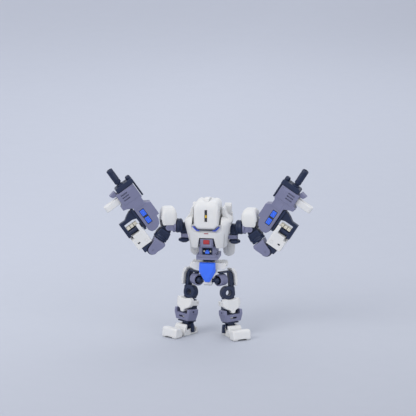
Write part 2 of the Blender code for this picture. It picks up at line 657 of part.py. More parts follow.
def gun_grip(parent, name, side):
    """Dark grip frame: round grip post, foot bar and slanting front guard under a top strap."""
    inside = [(25.2, 4.3), (11.5, 4.3), (11.5, 2.9), (19.4, 2.9), (20.2, 0.6), (20.2, -4.9), (12.7, -4.9)]
    outside = [(12.7, -6.9), (22.2, -6.9), (22.2, -3.0), (23.6, -1.0), (24.9, 1.6)]
    frame = prism("Y", inside + outside, (-1.45, 1.45))
    strap = block((11.7, 25.4), (-2.3, 2.3), (2.9, 4.3))
    tenon = block((12.4, 23.6), (-0.9, 0.9), (4.0, 4.95))
    join(frame, rod("Z", (GRIP_X, 0.0), GRIP_RADIUS, (-5.6, 3.6)), strap, tenon)
    finish_piece(moved_by(frame, (-GRIP_X, 0.0, 0.0)), name, "dark", parent, side)


def gun_magazine(parent, name, side):
    """White magazine that slides out of the receiver's underside."""
    outline = [(-1.4, 3.2), (-1.4, -7.0), (-0.6, -8.2), (2.0, -8.2), (2.7, -7.0), (2.7, 3.2)]
    body = prism("X", outline, (31.35, 34.95))
    finish_piece(moved_by(body, (-GRIP_X, 0.0, 0.0)), name, "white", parent, side)


def gun_lens(parent, name, side):
    """Blue twin lens bar in the front-facing pocket of the receiver."""
    bar = block((13.6, 22.2), (-3.0, -2.8), (6.5, 9.0))
    for low in (13.7, 18.7):
        join(bar, block((low, low + 3.4), (-3.4, -2.85), (6.6, 8.9)))
    finish_piece(moved_by(bar, (-GRIP_X, 0.0, 0.0)), name, "lens", parent, side)


def build_arm(torso, label, side):
    forward, drop, gun_raise = ARM_POSE[label]
    shoulder_collar(torso, f"shoulder_collar_{label}", side)
    shoulder = (SHOULDER_X, SHOULDER_Y, SHOULDER_Z - BEND_Z)
    turn = joint_frame(f"shoulder_turn_{label}", torso, shoulder, [("Z", -forward)], side)
    shoulder_yoke(turn, f"shoulder_yoke_{label}", side)
    swing = joint_frame(f"arm_swing_{label}", turn, (DRUM_OUT, 0, 0), (), side)
    arm_bracket(swing, f"arm_bracket_{label}", side)
    shoulder_pad(swing, f"shoulder_pad_{label}", side)
    lift_frame = joint_frame(f"arm_raise_{label}", swing, (RAISE_OUT, 0, RAISE_DOWN), [("Y", drop)], side)
    upper_arm(lift_frame, f"upper_arm_{label}", side)
    twist = joint_frame(f"arm_twist_{label}", lift_frame, (0, 0, 0), (), side)
    elbow_housing(twist, f"elbow_housing_{label}", side)
    elbow = joint_frame(f"elbow_{label}", twist, (UPPER_ARM, 0, 0), [("Y", -(drop + gun_raise))], side)
    forearm_core(elbow, f"forearm_core_{label}", side)
    wrist = joint_frame(f"wrist_{label}", elbow, (4.6, 0, WRIST_Z), (), side)
    palm(wrist, f"palm_{label}", side)
    grip = joint_frame(f"grip_{label}", wrist, (FINGER_PIN[0] - 4.6, FINGER_PIN[1], -WRIST_Z), (), side)
    fingers(grip, f"fingers_{label}", side)
    gun = joint_frame(f"gun_swivel_{label}", wrist, (GRIP_X - 4.6, 0, -WRIST_Z), (), side)
    gun_receiver(gun, f"gun_receiver_{label}", side)
    gun_muzzle(gun, f"gun_muzzle_{label}", side)
    gun_grip(gun, f"gun_grip_{label}", side)
    gun_lens(gun, f"gun_lens_{label}", side)
    magazine = joint_frame(f"magazine_{label}", gun, (0, 0, 0), (), side)
    gun_magazine(magazine, f"gun_magazine_{label}", side)


# ---------------------------------------------------------------- leg


def hip_hub(parent, name, side):
    """Dark double pin: one end turns in the pelvis, the other in the hip barrel. Origin at the ball."""
    hub = turned("X", (0, 0), ball_profile(1.75), FINE)
    join(hub, rod("X", (0.0, 0.0), PIN, (-3.5, 0.5), FINE))
    barrel_pin = turned_by(rod("Y", (0.0, 0.0), 0.95, (0.0, 5.2), FINE), "Z", -BARREL_TOE_IN)
    join(hub, barrel_pin)
    finish_piece(hub, name, "dark", parent, side)


def hip_barrel(parent, name, side):
    """Grey barrel with a deep front hollow round the hip ball. Origin at its centre, -Y out of the hollow."""
    barrel = rod("Y", (0.0, 0.0), BARREL_RADIUS, (-BARREL_FRONT, BARREL_BACK))
    cut(barrel, rod("Y", (0.0, 0.0), 2.5, (-6.0, -0.2)))
    cut(barrel, rod("Y", (0.0, 0.0), 0.95 + RUNNING, (-6.0, 6.0), FINE))
    cut(barrel, rod("Z", (0.0, 0.0), 0.95 + RUNNING, (1.9, 6.0), FINE))
    finish_piece(barrel, name, "grey", parent, side)


def thigh_frame(parent, name, side):
    """Dark thigh: hook over the barrel, outer bar, drilled disc, knee tongue. Origin on the turning pin."""
    bar = [(BAR_IN, 3.6), (BAR_IN, -8.6), (BAR_OUT, -8.6), (BAR_OUT, 2.2)]
    hook = prism("Y", [(-1.3, 3.6), *bar, (5.0, 4.5), (-1.3, 4.5)], (-1.7, 1.7))
    disc = rod("Y", (LEG_AXIS_X, -7.7), 3.9, (-2.4, 1.5))
    proud = BAR_OUT + 0.2
    corner = prism("Y", [(4.2, -4.6), (proud, -4.6), (proud, -9.4), (4.2, -10.9)], (-2.1, 1.3))
    tongue = block((LEG_AXIS_X - 1.6, LEG_AXIS_X + 1.6), (-1.8, 1.4), (-KNEE_DROP, -10.0))
    knuckle = rod("X", (0.0, -KNEE_DROP), 1.95, (LEG_AXIS_X - 1.6, LEG_AXIS_X + 1.6), 14)
    join(hook, disc, corner, tongue, knuckle, rod("Z", (0, 0), 0.95, (2.1, 4.2), FINE))
    cut(hook, rod("Y", (LEG_AXIS_X, -7.7), 1.3, (-6.0, 6.0), FINE))
    cut(hook, rod("X", (0.0, -KNEE_DROP), PIN + RUNNING, (-2.0, 8.0), FINE))
    finish_piece(hook, name, "dark", parent, side)


def hip_armor(parent, name, side):
    """White outer plate that flaps on a pin beside the thigh bar. Origin on its pin."""
    outline = [(1.35, -9.2), (2.1, -9.8), (2.9, -6.4), (2.6, -1.7)]
    outline += [(1.3, 0.3), (-0.1, 0.3), (-0.2, -0.5), (1.35, -3.0)]
    plate = prism("Y", outline, (-3.3, 3.3))
    finish_piece(plate, name, "white", parent, side)


def knee_cap(parent, name, side):
    """White knee guard with a raised rim and a centre wedge. Origin on the knee pin."""
    half = [(1.7, 2.1), (3.6, 3.2), (5.2, 2.6), (5.3, -1.0), (3.9, -2.7), (1.6, -3.0), (1.0, -5.2)]
    other = [(-x, z) for x, z in reversed(half)]
    cap = prism("Y", half + other, (-6.4, -2.8))
    for s in (1, -1):
        cut(cap, prism("Z", [(s * 2.4, -7.0), (s * 7.0, -7.0), (s * 7.0, -4.4)], (-7.0, 5.0)))
        join(cap, block(across(s, 3.95, 5.2), (-3.6, 1.6), (-1.3, 1.5)))
    finish_piece(cap, name, "white", parent, side)


def shin_core(parent, name, side):
    """Dark shin frame: knee fork, body, foot plate and the ankle's roll fork. Origin on the knee pin."""
    core = block((-3.6, 3.6), (-2.4, 2.4), (-10.4, -3.0))
    ears = [lug("X", (0.0, 0.0), 2.05, 4.0, 270.0, (s - 0.75, s + 0.75)) for s in (-KNEE_EAR_X, KNEE_EAR_X)]
    foot_plate = block((-3.3, 3.3), (-5.0, 2.6), (-10.9, -10.3))
    forks = []
    for s in (-2.4, 2.4):
        forks.append(lug("Y", (0.0, -ROLL_DROP), 1.6, 3.4, 90.0, (s - 0.6, s + 0.6)))
    join(core, *ears, foot_plate, *forks)
    join(core, rod("X", (0.0, 0.0), PIN, (-KNEE_EAR_X - 0.1, KNEE_EAR_X + 0.1), 12))
    join(core, rod("Y", (0.0, -ROLL_DROP), 0.8, (-2.5, 2.5), FINE))
    finish_piece(core, name, "dark", parent, side)


def shin_armor(parent, name, side):
    """Grey shin guard: a tapered trough, notched on top, slotted near its foot. Origin on the knee pin."""
    outline = [(-5.5, -3.4), (5.5, -3.4), (5.6, -6.0), (4.5, -10.0), (-4.5, -10.0), (-5.6, -6.0)]
    guard = prism("Y", outline, (-6.2, 1.4))
    cut(guard, block((-3.9, 3.9), (-2.7, 3.0), (-12.0, 0.0)))
    cut(guard, block((-4.0, 4.0), (-8.0, -2.0), (-5.9, 0.0)))
    cut(guard, block((-2.0, 2.0), (-8.0, -2.0), (-8.3, -7.3)))
    cut(guard, prism("X", [(-7.0, -2.0), (-7.0, -12.0), (-5.2, -12.0), (-5.9, -7.6)], (-8.0, 8.0)))
    finish_piece(guard, name, "grey", parent, side)


def ankle_bracket(parent, name, side):
    """Dark ankle cross: bored for the roll pin, it carries the pitch pin and an inner side bar.
    Origin on the roll pin."""
    drop = PITCH_DROP - ROLL_DROP
    cross = rod("Y", (0.0, 0.0), 1.5, (-1.5, 1.5), FINE)
    join(cross, block((-1.5, 1.5), (-1.1, 1.1), (-drop - 0.6, 0.0)))
    join(cross, rod("X", (0.0, -drop), 1.15, (-1.5, 1.5), FINE))
    join(cross, rod("X", (0.0, -drop), 0.8, (-4.2, 3.2), FINE))
    side_bar = [(-1.3, 2.0), (1.1, 2.0), (1.4, -drop - 0.7), (-1.4, -drop - 0.7)]
    join(cross, prism("X", side_bar, (-5.1, -3.75)))
    cut(cross, rod("Y", (0.0, 0.0), 0.8 + RUNNING, (-4.0, 4.0), FINE))
    finish_piece(cross, name, "dark", parent, side)


def foot_body(parent, name, side):
    """White foot with its heel and ankle guard. Origin on the ankle's pitch pin, sole at -SOLE_DROP."""
    low = -SOLE_DROP
    deep = low + 0.3
    plan = [(-3.4, -6.6), (4.4, -6.6), (4.6, 3.6), (3.4, 5.6), (-2.4, 5.6), (-3.4, 3.6)]
    sole = prism("Z", plan, (low, low + 0.85))
    outline = [(-6.0, deep), (-5.2, 1.2), (-2.6, 3.8), (2.4, 4.0), (3.6, 2.6), (4.2, deep)]
    outer = prism("X", outline, (1.95, 4.5))
    inner = prism("X", [(-5.6, deep), (-4.4, 1.0), (2.0, 1.3), (3.4, deep)], (-3.35, -1.95))
    heel = prism("X", [(4.2, deep), (4.2, 0.7), (5.0, 1.4), (5.8, 0.6), (5.9, deep)], (-2.6, 3.6))
    front = [(-6.6, deep), (-6.5, 0.2), (-5.5, 3.2), (-4.6, GUARD_TOP)]
    guard = prism("X", front + [(-3.6, GUARD_TOP), (-3.6, 3.0), (-4.4, deep)], (-3.6, 4.3))
    join(sole, outer, inner, heel, guard)
    cut(sole, rod("X", (0.0, 0.0), 0.8 + RUNNING, (-6.0, 3.6), FINE))
    toe_pin = (TOE_PIN[0], low + TOE_PIN[1])
    for s in (-2.5, 2.5):
        join(sole, lug("X", toe_pin, 0.85, 1.6, 0.0, (s - 0.1, s + 1.1)))
    join(sole, rod("X", toe_pin, 0.45, (-2.1, 3.1), FINE))
    finish_piece(sole, name, "white", parent, side)


def foot_toe(parent, name, side):
    """White toe block with an arched underside. Origin on the toe pin."""
    low = -TOE_PIN[1]
    profile = [(-6.6, low), (-6.9, low + 1.2), (-6.3, low + 5.0), (-5.4, low + 5.7)]
    profile += [(-2.0, low + 5.3), (-1.25, low + 4.4), (-1.25, low)]
    toe = prism("X", profile, (-5.3, 5.3))
    knuckle = lug("X", (0.0, 0.0), 0.95, 2.0, 180.0, (-1.55, 1.55))
    join(toe, knuckle)
    outline = [(-3.6, low - 1.0), (3.6, low - 1.0), (2.4, low + 0.9), (-2.4, low + 0.9)]
    arch = prism("Y", outline, (-9.0, -2.2))
    cut(toe, arch)
    cut(toe, rod("X", (0.0, 0.0), 0.65, (-3.0, 3.0), FINE))
    finish_piece(toe, name, "white", parent, side)


def ankle_angles(leg_turns):
    """Roll and pitch that bring a foot level under a leg turned this way."""
    matrix = Matrix.Identity(3)
    for axis, degrees in leg_turns:
        matrix = matrix @ Matrix.Rotation(math.radians(degrees), 3, axis)
    up = matrix.transposed() @ Vector((0.0, 0.0, 1.0))
    pitch = math.asin(-up.y)
    roll = math.asin(up.x / math.cos(pitch))
    return math.degrees(roll), math.degrees(pitch)


def build_leg(root, label, side):
    swing = joint_frame(f"hip_swing_{label}", root, HIP_BALL, (), side)
    hip_hub(swing, f"hip_hub_{label}", side)
    toe_in = math.radians(BARREL_TOE_IN)
    barrel_at = (BALL_TO_BARREL * math.sin(toe_in), BALL_TO_BARREL * math.cos(toe_in), 0.0)
    barrel_turns = [("Z", -BARREL_TOE_IN), ("Y", -LEG_SPREAD)]
    spread = joint_frame(f"hip_spread_{label}", swing, barrel_at, barrel_turns, side)
    hip_barrel(spread, f"hip_barrel_{label}", side)
    thigh_turns = [("Z", FOOT_TURN + BARREL_TOE_IN)]
    turn = joint_frame(f"thigh_turn_{label}", spread, (0, 0, 0), thigh_turns, side)
    thigh_frame(turn, f"thigh_frame_{label}", side)
    flap = joint_frame(f"hip_flap_{label}", turn, (BAR_OUT - 0.9, 0.0, 5.4), (), side)
    hip_armor(flap, f"hip_armor_{label}", side)
    knee = joint_frame(f"knee_{label}", turn, (LEG_AXIS_X, 0, -KNEE_DROP), (), side)
    knee_cap(knee, f"knee_cap_{label}", side)
    shin_core(knee, f"shin_core_{label}", side)
    shin_armor(knee, f"shin_armor_{label}", side)
    roll, pitch = ankle_angles(barrel_turns + thigh_turns)
    ankle_roll = joint_frame(f"ankle_roll_{label}", knee, (0, 0, -ROLL_DROP), [("Y", roll)], side)
    ankle_bracket(ankle_roll, f"ankle_bracket_{label}", side)
    ankle_at = (0, 0, ROLL_DROP - PITCH_DROP)
    ankle = joint_frame(f"ankle_pitch_{label}", ankle_roll, ankle_at, [("X", pitch)], side)
    foot_body(ankle, f"foot_body_{label}", side)
    toe = joint_frame(f"toe_{label}", ankle, (0.5, TOE_PIN[0], TOE_PIN[1] - SOLE_DROP), (), side)
    foot_toe(toe, f"foot_toe_{label}", side)


# ---------------------------------------------------------------- assembly


def build_torso(root):
    waist = joint_frame("waist_turn", root, (0, 0, WAIST_Z))
    waist_joint(waist)
    torso = joint_frame("waist_bend", waist, (0, 0, BEND_Z - WAIST_Z))
    belly_block(torso)
    torso_front_shell(torso)
    torso_back_shell(torso)
    chin_trim(torso)
    hatch = joint_frame("hatch_open", torso, (0.0, HATCH_PIN[0], HATCH_PIN[1] - BEND_Z))
    canopy_hatch(hatch)
    hatch_sensor(hatch)
    boosters = joint_frame("booster_tilt", torso, (0, BOOSTER_PIN[0], BOOSTER_PIN[1] - BEND_Z))
    booster_frame(boosters)
    for label, side in SIDES.items():
        pod = joint_frame(f"pod_swing_{label}", boosters, (POD_X, *POD_PIN), (), side)
        booster_pod(pod, f"booster_pod_{label}")
    return torso


def main():
    clear_scene()
    MATERIALS.update(colour_materials())
    root = joint_frame("kit", None, (0, 0, 0))
    pelvis_block(root)
    skirt = joint_frame("skirt_flap", root, (0.0, -7.1, 41.2))
    front_skirt(skirt)
    torso = build_torso(root)
    for label, side in SIDES.items():
        build_arm(torso, label, side)
        build_leg(root, label, side)
    stand_on_origin(root)


MATERIALS = {}
main()
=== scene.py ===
"""Looks of the humanoid robot kit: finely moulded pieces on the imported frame, plastics, studio and camera.

Shapes are worked in millimetres in the frame of their own joint (X outwards or to the muzzle, Y to the back,
Z up) and then mapped into the shared frame. Side -1 mirrors side +1.
"""

import json
import math

import bmesh
import bpy
from mathutils import Matrix, Vector


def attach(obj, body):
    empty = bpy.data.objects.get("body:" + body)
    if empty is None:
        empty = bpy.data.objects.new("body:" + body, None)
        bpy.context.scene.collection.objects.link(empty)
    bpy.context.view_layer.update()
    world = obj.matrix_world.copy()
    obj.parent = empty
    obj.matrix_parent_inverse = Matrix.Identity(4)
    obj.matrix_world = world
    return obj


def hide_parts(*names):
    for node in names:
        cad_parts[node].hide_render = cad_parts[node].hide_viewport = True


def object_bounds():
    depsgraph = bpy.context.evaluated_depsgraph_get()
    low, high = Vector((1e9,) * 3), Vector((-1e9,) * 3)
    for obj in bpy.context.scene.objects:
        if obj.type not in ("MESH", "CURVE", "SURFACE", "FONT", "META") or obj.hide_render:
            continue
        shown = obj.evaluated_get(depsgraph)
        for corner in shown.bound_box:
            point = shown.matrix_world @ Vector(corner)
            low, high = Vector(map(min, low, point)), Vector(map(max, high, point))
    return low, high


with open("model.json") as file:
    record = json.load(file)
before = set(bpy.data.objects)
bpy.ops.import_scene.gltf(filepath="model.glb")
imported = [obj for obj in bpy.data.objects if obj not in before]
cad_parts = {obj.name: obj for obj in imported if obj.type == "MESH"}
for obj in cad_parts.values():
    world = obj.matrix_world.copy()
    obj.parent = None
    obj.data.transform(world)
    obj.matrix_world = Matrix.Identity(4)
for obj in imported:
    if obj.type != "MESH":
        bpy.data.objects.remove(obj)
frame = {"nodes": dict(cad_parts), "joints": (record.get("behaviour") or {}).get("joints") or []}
cad_low, cad_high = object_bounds()

MM = 0.001
SIDES = {"left": 1, "right": -1}
ROUND = 64  # sides of a large round shape
FINE = 32  # sides of a pin or bore
DOT = 24  # sides of a moulded dot
PIVOT = (0.0, 0.0)  # a joint's own centre, seen along its pin

# How meshes are cleaned, rounded and joined
SHARP = 40.0  # edges sharper than this get rounded, in degrees
FOLD = 140.0  # no two neighbouring faces of a rounded shape turn further than this
SMOOTH = 38.0  # shading runs across edges blunter than this
FLAT = 0.4  # faces closer to level than this become one
WELD = 0.006  # points of a shape closer than this become one
CAD_WELD = 0.004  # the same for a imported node
SHARES = (1.0, 0.7, 0.45, 0.25)  # of the wanted radius, tried in turn
TRIES = 8  # at each share
SPARED = 0.12  # share of the edges that may stay sharp before the radius shrinks
SPARED_LAST = 0.5  # the same at the smallest radius
VOLUME_KEPT = {"UNION": (0.98, 9.0), "DIFFERENCE": (0.08, 1.02), "INTERSECT": (0.0001, 1.02)}
ROUND_KEPT = (0.8, 1.01)  # least and most volume after rounding
RAISED_ROUND = 0.08  # radius on raised panels
FACE_WEIGHT = 90  # how strongly large faces pull the shading

# Pins and bores
RUNNING = 0.22  # radial clearance of a pin in its bore
PIN = 1.0  # radius of a common hinge pin
ARM_PIN = 1.3
STUB_PIN = 0.95  # at the hip
ANKLE_PIN = 0.8
HATCH_PIN_RADIUS = 0.35

# Torso, canopy and boosters
WAIST_Z = 42.9
CHIN_Z = 61.7
HATCH_TOP_Z = 77.2
HATCH_HALF = 6.9
HATCH_PIN = (0.5, 76.2)
HATCH_LUGS = (-3.1, 3.1)
SEAM_Z = (59.0, 59.14)  # joint line round the torso
BAY_X = (-5.4, 5.4)  # hollow of the torso over the belly
BAY_Z = (48.0, 54.2)
POD_RADIUS = 3.34
POD_WAIST = 3.22  # at the groove around a pod

# Arm
SHOULDER = (13.9, 0.6, 61.2)
COLLAR_LOW = 54.6
COLLAR_HIGH = 56.9
KNOB_LOW = 51.8
DRUM_OUT = 3.1
DRUM_RADIUS = 3.9
RAISE_PIN = (6.2, -0.6)
UPPER_ARM = 15.0
COLLAR_X = 5.5
COLLAR_END = 8.1
TONGUE = 1.5
CHEEK_IN = 1.85
WRIST_Z = -1.6
GRIP_X = 14.7
BORE_Z = 6.3
SLEEVE_END = 50.3

# Leg
BARREL_RADIUS = 3.3
BARREL_FRONT = 3.0
BARREL_BACK = 2.2
BAR_IN = 4.3
BAR_OUT = 6.5
LEG_AXIS_X = 2.7
THIGH_HOLE = (LEG_AXIS_X, -7.7)
KNEE_DROP = 13.4
ROLL_DROP = 13.6
SHIN_STUD = (-2.6, -4.7)
SOLE_DROP = 2.2
TOE_PIN = (-7.8, 1.15)

PAD_SECTIONS = [  # height, inner, outer, front, back
    (-2.4, 3.4, 9.0, -1.6, 5.9),
    (0.2, 1.8, 10.1, -3.3, 6.3),
    (4.2, 1.3, 10.4, -3.8, 6.5),
    (7.8, 1.5, 10.0, -3.5, 6.2),
    (9.8, 2.4, 9.4, -2.6, 5.2),
    (10.6, 3.4, 8.4, -1.2, 4.0),
]


# ---------------------------------------------------------------- mesh tools


def shape_from(bm):
    bmesh.ops.recalc_face_normals(bm, faces=bm.faces)
    mesh = bpy.data.meshes.new("shape")
    bm.to_mesh(mesh)
    bm.free()
    shape = bpy.data.objects.new("shape", mesh)
    bpy.context.scene.collection.objects.link(shape)
    return shape


def to_axes(axis, u, v, w):
    return {"X": (w, u, v), "Y": (u, w, v), "Z": (u, v, w)}[axis]


def circle(centre, radius, sides=ROUND, start=0.0, sweep=360.0):
    full = abs(sweep) >= 360.0
    steps = sides if full else sides + 1
    angles = [math.radians(start + sweep * i / sides) for i in range(steps)]
    return [(centre[0] + radius * math.cos(a), centre[1] + radius * math.sin(a)) for a in angles]


def softened(outline, radius, steps=5):
    """The same outline with its corners turned into arcs."""
    points = []
    count = len(outline)
    for i in range(count):
        before, here, after = (Vector(outline[(i + k) % count]) for k in (-1, 0, 1))
        reach = min(radius, (before - here).length * 0.45, (after - here).length * 0.45)
        start = here + (before - here).normalized() * reach
        end = here + (after - here).normalized() * reach
        for k in range(steps + 1):
            t = k / steps
            points.append(tuple(start * (1 - t) ** 2 + here * 2 * t * (1 - t) + end * t ** 2))
    return points


def prism(axis, outline, span):
    bm = bmesh.new()
    face = bm.faces.new([bm.verts.new(to_axes(axis, u, v, span[0])) for u, v in outline])
    grown = bmesh.ops.extrude_face_region(bm, geom=[face])["geom"]
    step = Vector(to_axes(axis, 0.0, 0.0, span[1] - span[0]))
    bmesh.ops.translate(bm, vec=step, verts=[g for g in grown if isinstance(g, bmesh.types.BMVert)])
    return shape_from(bm)


def block(x, y, z):
    return prism("Y", [(x[0], z[0]), (x[1], z[0]), (x[1], z[1]), (x[0], z[1])], y)


def across(side, near, far):
    return (side * near, side * far)


def lug(axis, centre, radius, reach, heading, span):
    a = math.radians(heading)
    outline = circle(centre, radius, FINE, heading + 90.0, 180.0)
    for u, v in (outline[-1], outline[0]):
        outline.append((u + reach * math.cos(a), v + reach * math.sin(a)))
    return prism(axis, outline, span)


def rod(axis, centre, radius, span, sides=FINE):
    return prism(axis, circle(centre, radius, sides), span)


def turned(axis, centre, profile, sides=ROUND):
    bm = bmesh.new()
    rings = []
    for radius, along in profile:
        points = circle(centre, radius, sides) if radius > 1e-6 else [centre]
        rings.append([bm.verts.new(to_axes(axis, u, v, along)) for u, v in points])
    for low, high in zip(rings, rings[1:]):
        for i in range(sides):
            j = (i + 1) % sides
            corners = [low[i % len(low)], low[j % len(low)], high[j % len(high)], high[i % len(high)]]
            bm.faces.new(list(dict.fromkeys(corners)))
    for ring in (rings[0], rings[-1]):
        if len(ring) > 1:
            bm.faces.new(ring)
    return shape_from(bm)


def ball(radius, steps=20):
    angles = [math.pi * i / steps for i in range(steps + 1)]
    return turned("X", PIVOT, [(radius * math.sin(a), -radius * math.cos(a)) for a in angles], FINE)


def loft(sections):
    bm = bmesh.new()
    rings = [[bm.verts.new(p) for p in ring] for ring in sections]
    count = len(rings[0])
    for low, high in zip(rings, rings[1:]):
        for i in range(count):
            j = (i + 1) % count
            bm.faces.new((low[i], low[j], high[j], high[i]))
    bm.faces.new(rings[0])
    bm.faces.new(rings[-1])
    return shape_from(bm)


def volume(mesh):
    bm = bmesh.new()
    bm.from_mesh(mesh)
    amount = bm.calc_volume() if bm.faces else 0.0
    bm.free()
    return amount


def combine(base, others, operation):
    """Booleans, one after another. A result that lost its shape is made again by the other solver."""
    low, high = VOLUME_KEPT[operation]
    for other in others:
        before = abs(volume(base.data))
        best = None
        for solver in ("EXACT", "MANIFOLD"):
            modifier = base.modifiers.new("combine", "BOOLEAN")
            modifier.operation = operation
            modifier.solver = solver
            modifier.object = other
            graph = bpy.context.evaluated_depsgraph_get()
            mesh = bpy.data.meshes.new_from_object(base.evaluated_get(graph))
            base.modifiers.clear()
            if low * before < abs(volume(mesh)) < high * before:
                best = mesh
                break
        if best:
            base.data = best
        bpy.data.objects.remove(other, do_unlink=True)
    return base


def join(base, *others):
    return combine(base, others, "UNION")


def cut(base, *others):
    return combine(base, others, "DIFFERENCE")


def keep(base, other):
    return combine(base, [other], "INTERSECT")


def together(*shapes):
    """One object of several separate solids."""
    bm = bmesh.new()
    for shape in shapes:
        bm.from_mesh(shape.data)
        bpy.data.objects.remove(shape, do_unlink=True)
    return shape_from(bm)


def turned_by(shape, axis, degrees, about=(0.0, 0.0, 0.0)):
    pivot = Matrix.Translation(Vector(about))
    shape.data.transform(pivot @ Matrix.Rotation(math.radians(degrees), 4, axis) @ pivot.inverted())
    return shape


def folded(bm):
    """Middles of the edges where the mesh doubles back on itself or comes apart."""
    limit = math.radians(FOLD)
    return [(e.verts[0].co + e.verts[1].co) / 2 for e in bm.edges
            if len(e.link_faces) != 2 or e.calc_face_angle() > limit]


def bevelled(mesh, radius, segments, skipped):
    """A bevelled copy, the faults in it, and the edges that it was made from."""
    bm = bmesh.new()
    bm.from_mesh(mesh)
    bm.edges.ensure_lookup_table()
    low = [min(v.co[i] for v in bm.verts) - 0.01 for i in range(3)]
    high = [max(v.co[i] for v in bm.verts) + 0.01 for i in range(3)]
    before = bm.calc_volume()
    sharp = [e for e in bm.edges if e.calc_face_angle(0.0) > math.radians(SHARP)]
    chosen = [e for e in sharp if e.index not in skipped]
    spans = [(e.index, e.verts[0].co.copy(), e.verts[1].co.copy(), e.calc_length()) for e in chosen]
    bmesh.ops.bevel(bm, geom=chosen, offset=radius, offset_type="OFFSET", segments=segments, profile=0.5,
                    affect="EDGES", clamp_overlap=False, miter_outer="ARC")
    faults = folded(bm)
    faults += [v.co.copy() for v in bm.verts if any(not low[i] < v.co[i] < high[i] for i in range(3))]
    sound = ROUND_KEPT[0] * before < bm.calc_volume() < ROUND_KEPT[1] * before
    return bm, faults, spans, len(sharp), sound


def rounded(shape, radius, segments=3):
    """Rounds the sharp edges that have room. Where the result folds, the shortest edge there stays sharp."""
    for share in SHARES:
        skipped = set()
        reach = radius * share
        for _ in range(TRIES):
            bm, faults, spans, count, sound = bevelled(shape.data, reach, segments, skipped)
            if not faults and sound:
                bm.to_mesh(shape.data)
                bm.free()
                return shape
            bm.free()
            for fault in faults:
                near = []
                for index, a, b, length in spans:
                    part = max(0.0, min(1.0, (fault - a).dot(b - a) / (b - a).length_squared))
                    gap = (fault - a.lerp(b, part)).length
                    if gap < reach * 2.0:
                        near.append((length + gap * 0.5, index))
                if near:
                    skipped.add(min(near)[1])
            if len(skipped) > count * (SPARED_LAST if share == SHARES[-1] else SPARED):
                break
    return shape


# ---------------------------------------------------------------- frames of the joints

JOINTS = {joint["name"]: joint for joint in frame["joints"]}


def pin(name):
    return Vector(JOINTS[name]["pos_m"])


def along(name, sign):
    return Vector(JOINTS[name]["axis"]).normalized() * sign


def basis(at, side, x=None, y=None, z=None):
    """Millimetres to the shared frame. Two axes are given; the third follows, mirrored on the right."""
    x = x or y.cross(z) * side
    y = y or z.cross(x) * side
    z = z or x.cross(y) * side
    axes = Matrix((x, y, z)).transposed().to_4x4()
    return Matrix.Translation(at) @ axes @ Matrix.Diagonal((MM, MM, MM, 1.0))


def upright(joint):
    return basis(pin(joint), 1, x=Vector((1, 0, 0)), y=Vector((0, 1, 0)))


def side_frames(label, side):
    """Every limb frame of one side, by the name of the joint or the piece that it belongs to."""
    def at(joint):
        return pin(f"{joint}_{label}")

    def toward(joint, sign):
        return along(f"{joint}_{label}", sign * side)

    floor_x, back, up = Vector((side, 0, 0)), Vector((0, 1, 0)), Vector((0, 0, 1))
    arm = {"x": toward("arm_swing", 1), "z": toward("shoulder_turn", 1)}
    gun = {"x": toward("wrist", -1), "z": toward("gun_swivel", 1)}
    leg = {"y": toward("hip_flap", -1), "z": toward("thigh_turn", -1)}
    foot = {"x": toward("ankle_pitch", -1), "z": up}
    return {
        "torso": basis(KIT_FLOOR, side, x=floor_x, y=back),
        "yoke": basis(at("shoulder_turn"), side, **arm),
        "drum": basis(at("arm_swing"), side, **arm),
        "upper_arm": basis(at("arm_raise"), side, x=toward("arm_twist", 1), y=toward("arm_raise", -1)),
        "elbow": basis(at("elbow"), side, **gun),
        "pod": basis(at("pod_swing"), side, x=floor_x, y=back),
        "hip": basis(at("hip_swing"), side, x=floor_x, y=back),
        "barrel": basis(at("hip_spread"), side, y=toward("hip_spread", -1), z=toward("thigh_turn", -1)),
        "thigh": basis(at("thigh_turn"), side, **leg),
        "flap": basis(at("hip_flap"), side, **leg),
        "knee": basis(at("knee"), side, **leg),
        "ankle": basis(at("ankle_roll"), side, x=toward("ankle_pitch", -1), y=toward("ankle_roll", 1)),
        "foot": basis(at("ankle_pitch"), side, **foot),
        "toe": basis(at("toe"), side, **foot),
    }


KIT_FLOOR = pin("waist_turn") - Vector((0, 0, WAIST_Z)) * MM
KIT = basis(KIT_FLOOR, 1, x=Vector((1, 0, 0)), y=Vector((0, 1, 0)))
FRAMES = {label: side_frames(label, side) for label, side in SIDES.items()}


def cad_shape(node, place):
    """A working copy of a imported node's mesh, in the millimetres of its joint, with its flat faces whole."""
    bm = bmesh.new()
    bm.from_mesh(frame["nodes"][node].data)
    bmesh.ops.transform(bm, matrix=place.inverted(), verts=bm.verts)
    bmesh.ops.remove_doubles(bm, verts=bm.verts, dist=CAD_WELD)
    bmesh.ops.dissolve_limit(bm, angle_limit=math.radians(FLAT), verts=bm.verts, edges=bm.edges)
    return shape_from(bm)


# ---------------------------------------------------------------- materials


